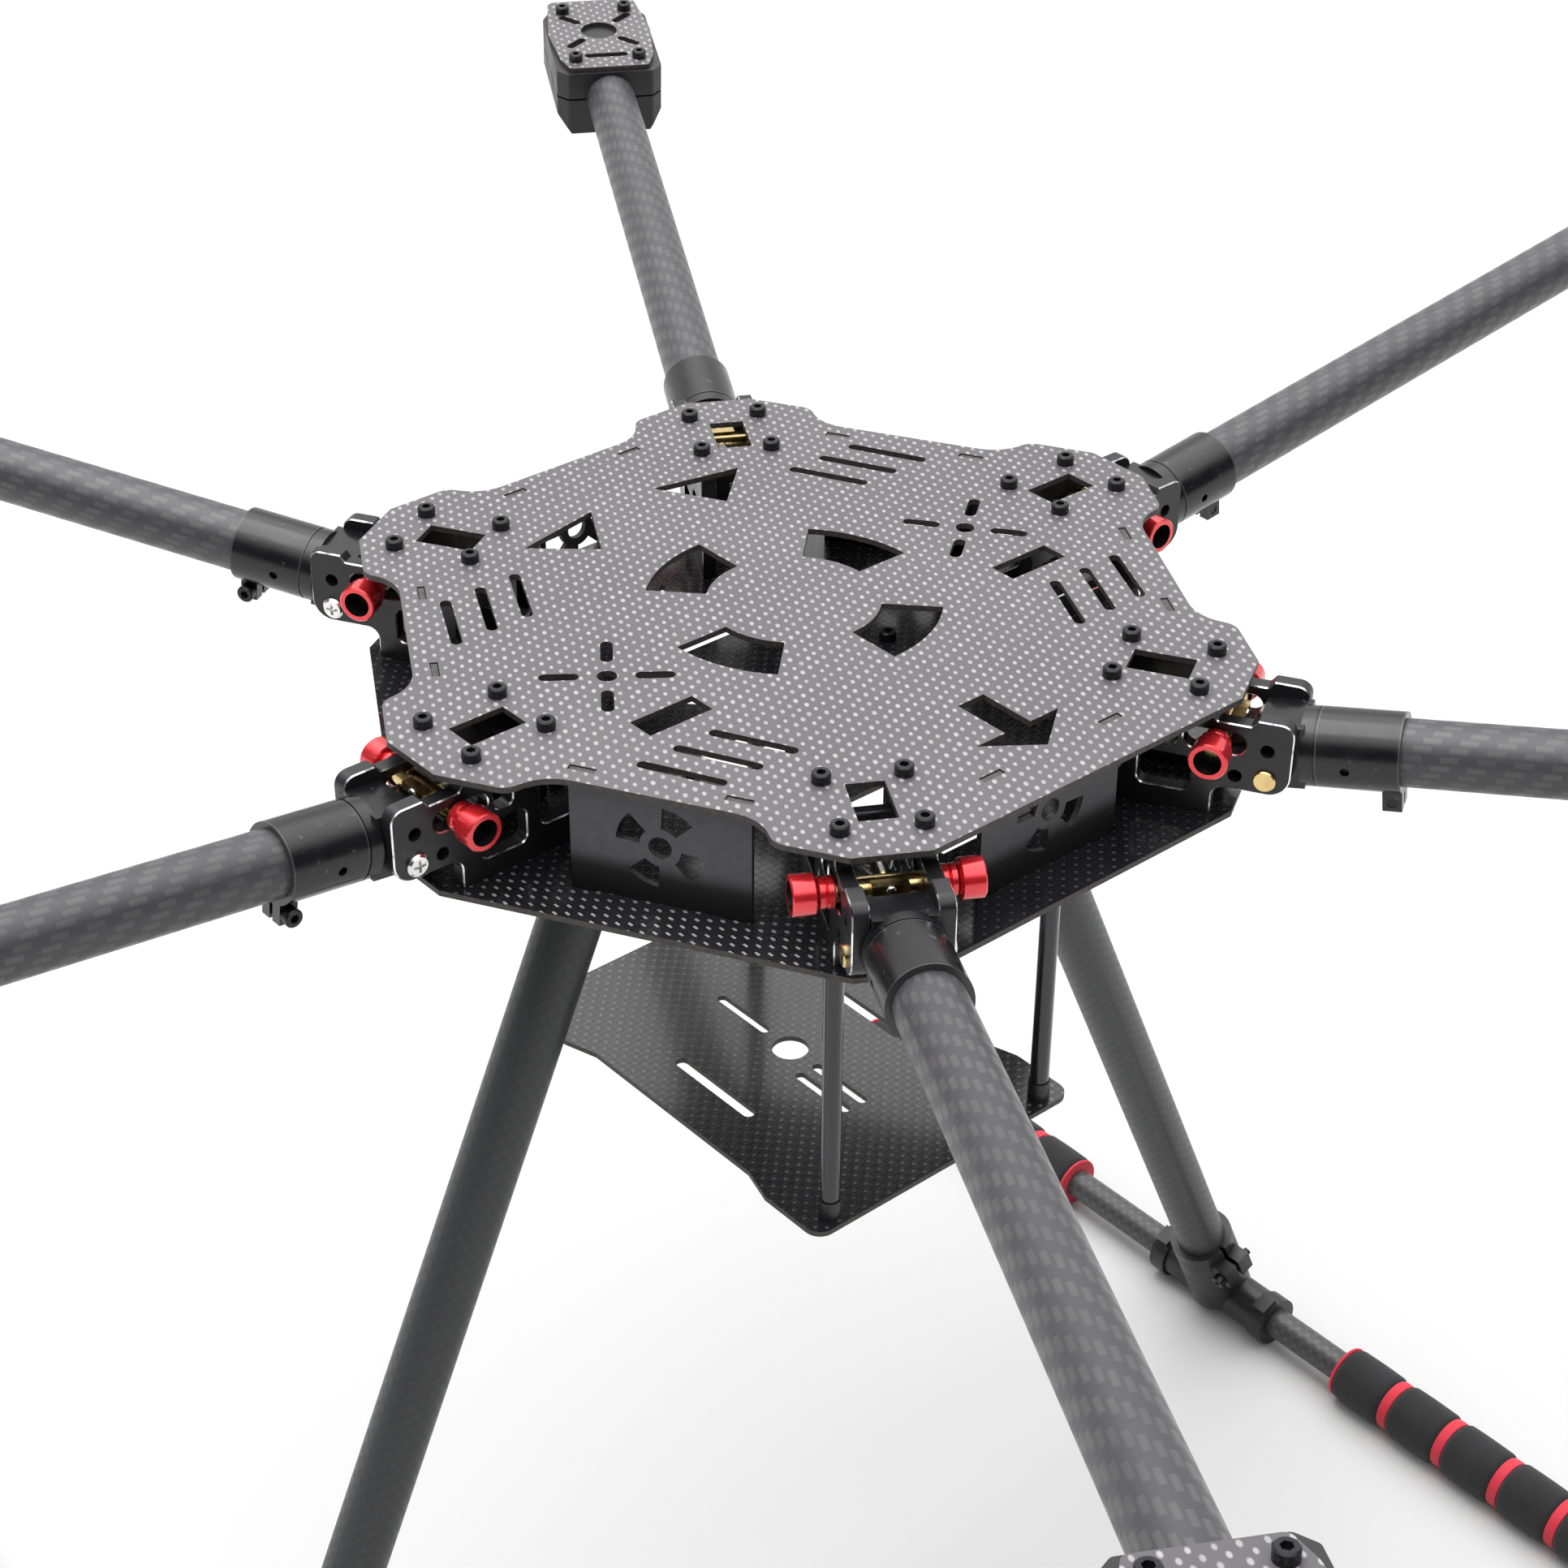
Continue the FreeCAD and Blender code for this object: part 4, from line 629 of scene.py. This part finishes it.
def dress_tray_and_legs(shared):
    paint("battery_posts", dark_gloss("post_alloy"))
    for node in ("post_feet", "leg_sockets", "skid_tees"):
        paint(node, shared["black_plastic"])

    low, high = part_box("skid_tubes")
    skid_radius = (high.z - low.z) / 2
    skid_z = (high.z + low.z) / 2
    skid_x = high.x - skid_radius
    finishes = []
    # the same weave on both legs: the right leg's copy is lighter as painted light, the left leg's
    # darker as painted shade
    for sign, dark, light in ((1, (0.046, 0.047, 0.049), (0.056, 0.056, 0.056)),
                              (-1, (0.027, 0.028, 0.03), (0.034, 0.034, 0.034))):
        foot = Vector((sign * skid_x, 0, skid_z))
        up_leg = Vector((-sign * math.sin(LEG_SPLAY), 0, math.cos(LEG_SPLAY)))
        finishes.append(tube_weave("leg_carbon_%s" % ("right" if sign > 0 else "left"), foot, up_leg,
                                   Y_AXIS, TUBE_RADIUS, 2.1 * MM, False,
                                   dark, light, 0.4, relief=0.22))
    paint("leg_tubes", finishes[0], lambda face: face.center.x < 0, finishes[1])

    skids = []
    for sign in (1, -1):
        middle = Vector((sign * skid_x, 0, skid_z))
        skids.append(tube_weave("skid_carbon_%s" % ("right" if sign > 0 else "left"), middle,
                                Y_AXIS, UP, skid_radius, 2.0 * MM, False,
                                (0.05, 0.05, 0.052), (0.085, 0.085, 0.086), 0.36))
    paint("skid_tubes", skids[0], lambda face: face.center.x < 0, skids[1])
    return skid_x, skid_z, skid_radius


def add_grips(skid_x, skid_z, skid_radius):
    """Foam grips: five soft black lengths with red rings between and at the ends."""
    low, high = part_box("skid_tubes")
    pad_low, pad_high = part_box("skid_pads")
    pad_radius = (pad_high.z - pad_low.z) / 2
    pad_length = 18.5 * MM
    ring_length = 3.5 * MM
    disc_length = 1.0 * MM
    bore = skid_radius + 0.05 * MM
    foam = foam_skin("foam", (0.009, 0.009, 0.01), (0.016, 0.016, 0.018), 2300.0)
    red_foam = foam_skin("red_foam", (0.55, 0.015, 0.035), (0.68, 0.03, 0.06), 2600.0, 0.75)
    for sign, side in ((1, "right"), (-1, "left")):
        for end, way, label in ((low.y, 1, "front"), (high.y, -1, "rear")):
            pads = []
            rings = []
            y = end
            for k in range(6):
                length = disc_length if k in (0, 5) else ring_length
                radius = (8.7 if k in (0, 5) else 8.35) * MM
                start = min(y, y + way * length)
                rings.append(ring_piece("red", Vector((sign * skid_x, start, skid_z)), Y_AXIS,
                                        length, radius, bore, 0.25 * MM))
                y += way * length
                if k < 5:
                    start = min(y, y + way * pad_length)
                    pads.append(ring_piece("pad", Vector((sign * skid_x, start, skid_z)), Y_AXIS,
                                           pad_length, pad_radius, bore, 1.8 * MM))
                    y += way * pad_length
            grip = join("grip_foam_%s_%s" % (label, side), pads)
            finish_piece(grip, foam, "hub", "foam", "skid_pads")
            band = join("grip_rings_%s_%s" % (label, side), rings)
            finish_piece(band, red_foam, "hub", "red_foam", "pad_rings")


def ring_piece(name, start, axis, length, radius, bore, round_edge):
    """A soft ring on a tube, its rim rounded and its middle very slightly crowned."""
    crown = 0.1 * MM
    profile = [(0, bore)]
    steps = 5
    for k in range(steps + 1):
        a = k / steps * math.pi / 2
        profile.append((round_edge * (1 - math.cos(a)), radius - crown - round_edge * (1 - math.sin(a))))
    for k in range(1, 8):
        share = k / 8
        along = round_edge + (length - 2 * round_edge) * share
        profile.append((along, radius - crown + crown * math.sin(math.pi * share)))
    for k in range(steps, -1, -1):
        a = k / steps * math.pi / 2
        profile.append((length - round_edge * (1 - math.cos(a)),
                        radius - crown - round_edge * (1 - math.sin(a))))
    profile.append((length, bore))
    profile.append((0, bore))
    return lathe(name, profile, start, axis, 56)


# ----------------------------------------------------------------- stage and the camera

def add_stage():
    data = bpy.data.meshes.new("floor")
    half = 6.0
    data.from_pydata([(-half, -half, 0), (half, -half, 0), (half, half, 0), (-half, half, 0)], [],
                     [(0, 1, 2, 3)])
    floor = bpy.data.objects.new("floor", data)
    bpy.context.scene.collection.objects.link(floor)
    pale = Finish("pale_floor", (0.6, 0.6, 0.6), 0.8)
    place = pale.place()
    pale.set("Base Color", pale.mix(pale.noise(place, 3.0), (0.58, 0.58, 0.58), (0.6, 0.6, 0.6)))
    data.materials.append(pale.data)

    add_surroundings()


def add_surroundings():
    """A studio: bright overhead, a pale wall at the far side, darker round the camera."""
    world = bpy.data.worlds.new("studio")
    bpy.context.scene.world = world
    world.use_nodes = True
    sky = NodeMaker(world.node_tree)
    towards = sky.tree.nodes.new("ShaderNodeTexCoord").outputs["Generated"]
    azimuth = math.radians(CAMERA_AZIMUTH)
    far_side = Vector((math.sin(azimuth), math.cos(azimuth), 0))
    ceiling = sky.smooth(sky.dot(towards, UP), 0.45, 0.85, 0.0, CEILING_GLOW)
    wall = sky.smooth(sky.dot(towards, far_side), -0.1, 0.75, ROOM_GLOW, WALL_GLOW)
    background = sky.tree.nodes["Background"]
    sky.link(sky.math("ADD", ceiling, wall), background.inputs["Strength"])
    background.inputs["Color"].default_value = (1.0, 1.0, 1.0, 1.0)


def add_light(name, place, aim, width, depth, power):
    data = bpy.data.lights.new(name, "AREA")
    data.shape = "RECTANGLE"
    data.size = width
    data.size_y = depth
    data.energy = power
    lamp = bpy.data.objects.new(name, data)
    lamp.location = place
    lamp.rotation_euler = (Vector(aim) - Vector(place)).to_track_quat("-Z", "Y").to_euler()
    bpy.context.scene.collection.objects.link(lamp)


def add_lights():
    hub = (0, 0, 0.32)
    add_light("top_softbox", (-0.3, 0.4, 1.9), hub, 1.4, 1.0, 14.0)


def add_camera():
    data = bpy.data.cameras.new("camera")
    data.lens = CAMERA_LENS
    data.sensor_width = 36.0
    data.clip_start = 0.01
    camera = bpy.data.objects.new("camera", data)
    look = Matrix.Rotation(math.radians(-CAMERA_AZIMUTH), 4, "Z")
    tilt = Matrix.Rotation(math.radians(90 - CAMERA_DOWN), 4, "X")
    roll = Matrix.Rotation(math.radians(CAMERA_ROLL), 4, "Z")
    camera.matrix_world = Matrix.Translation(CAMERA_PLACE) @ look @ tilt @ roll
    bpy.context.scene.collection.objects.link(camera)
    bpy.context.scene.camera = camera


finishes = shared_finishes()
dress_hub(finishes)
dress_arms(finishes)
add_grips(*dress_tray_and_legs(finishes))
add_stage()
add_lights()
add_camera()
bpy.context.scene.view_settings.view_transform = "Standard"
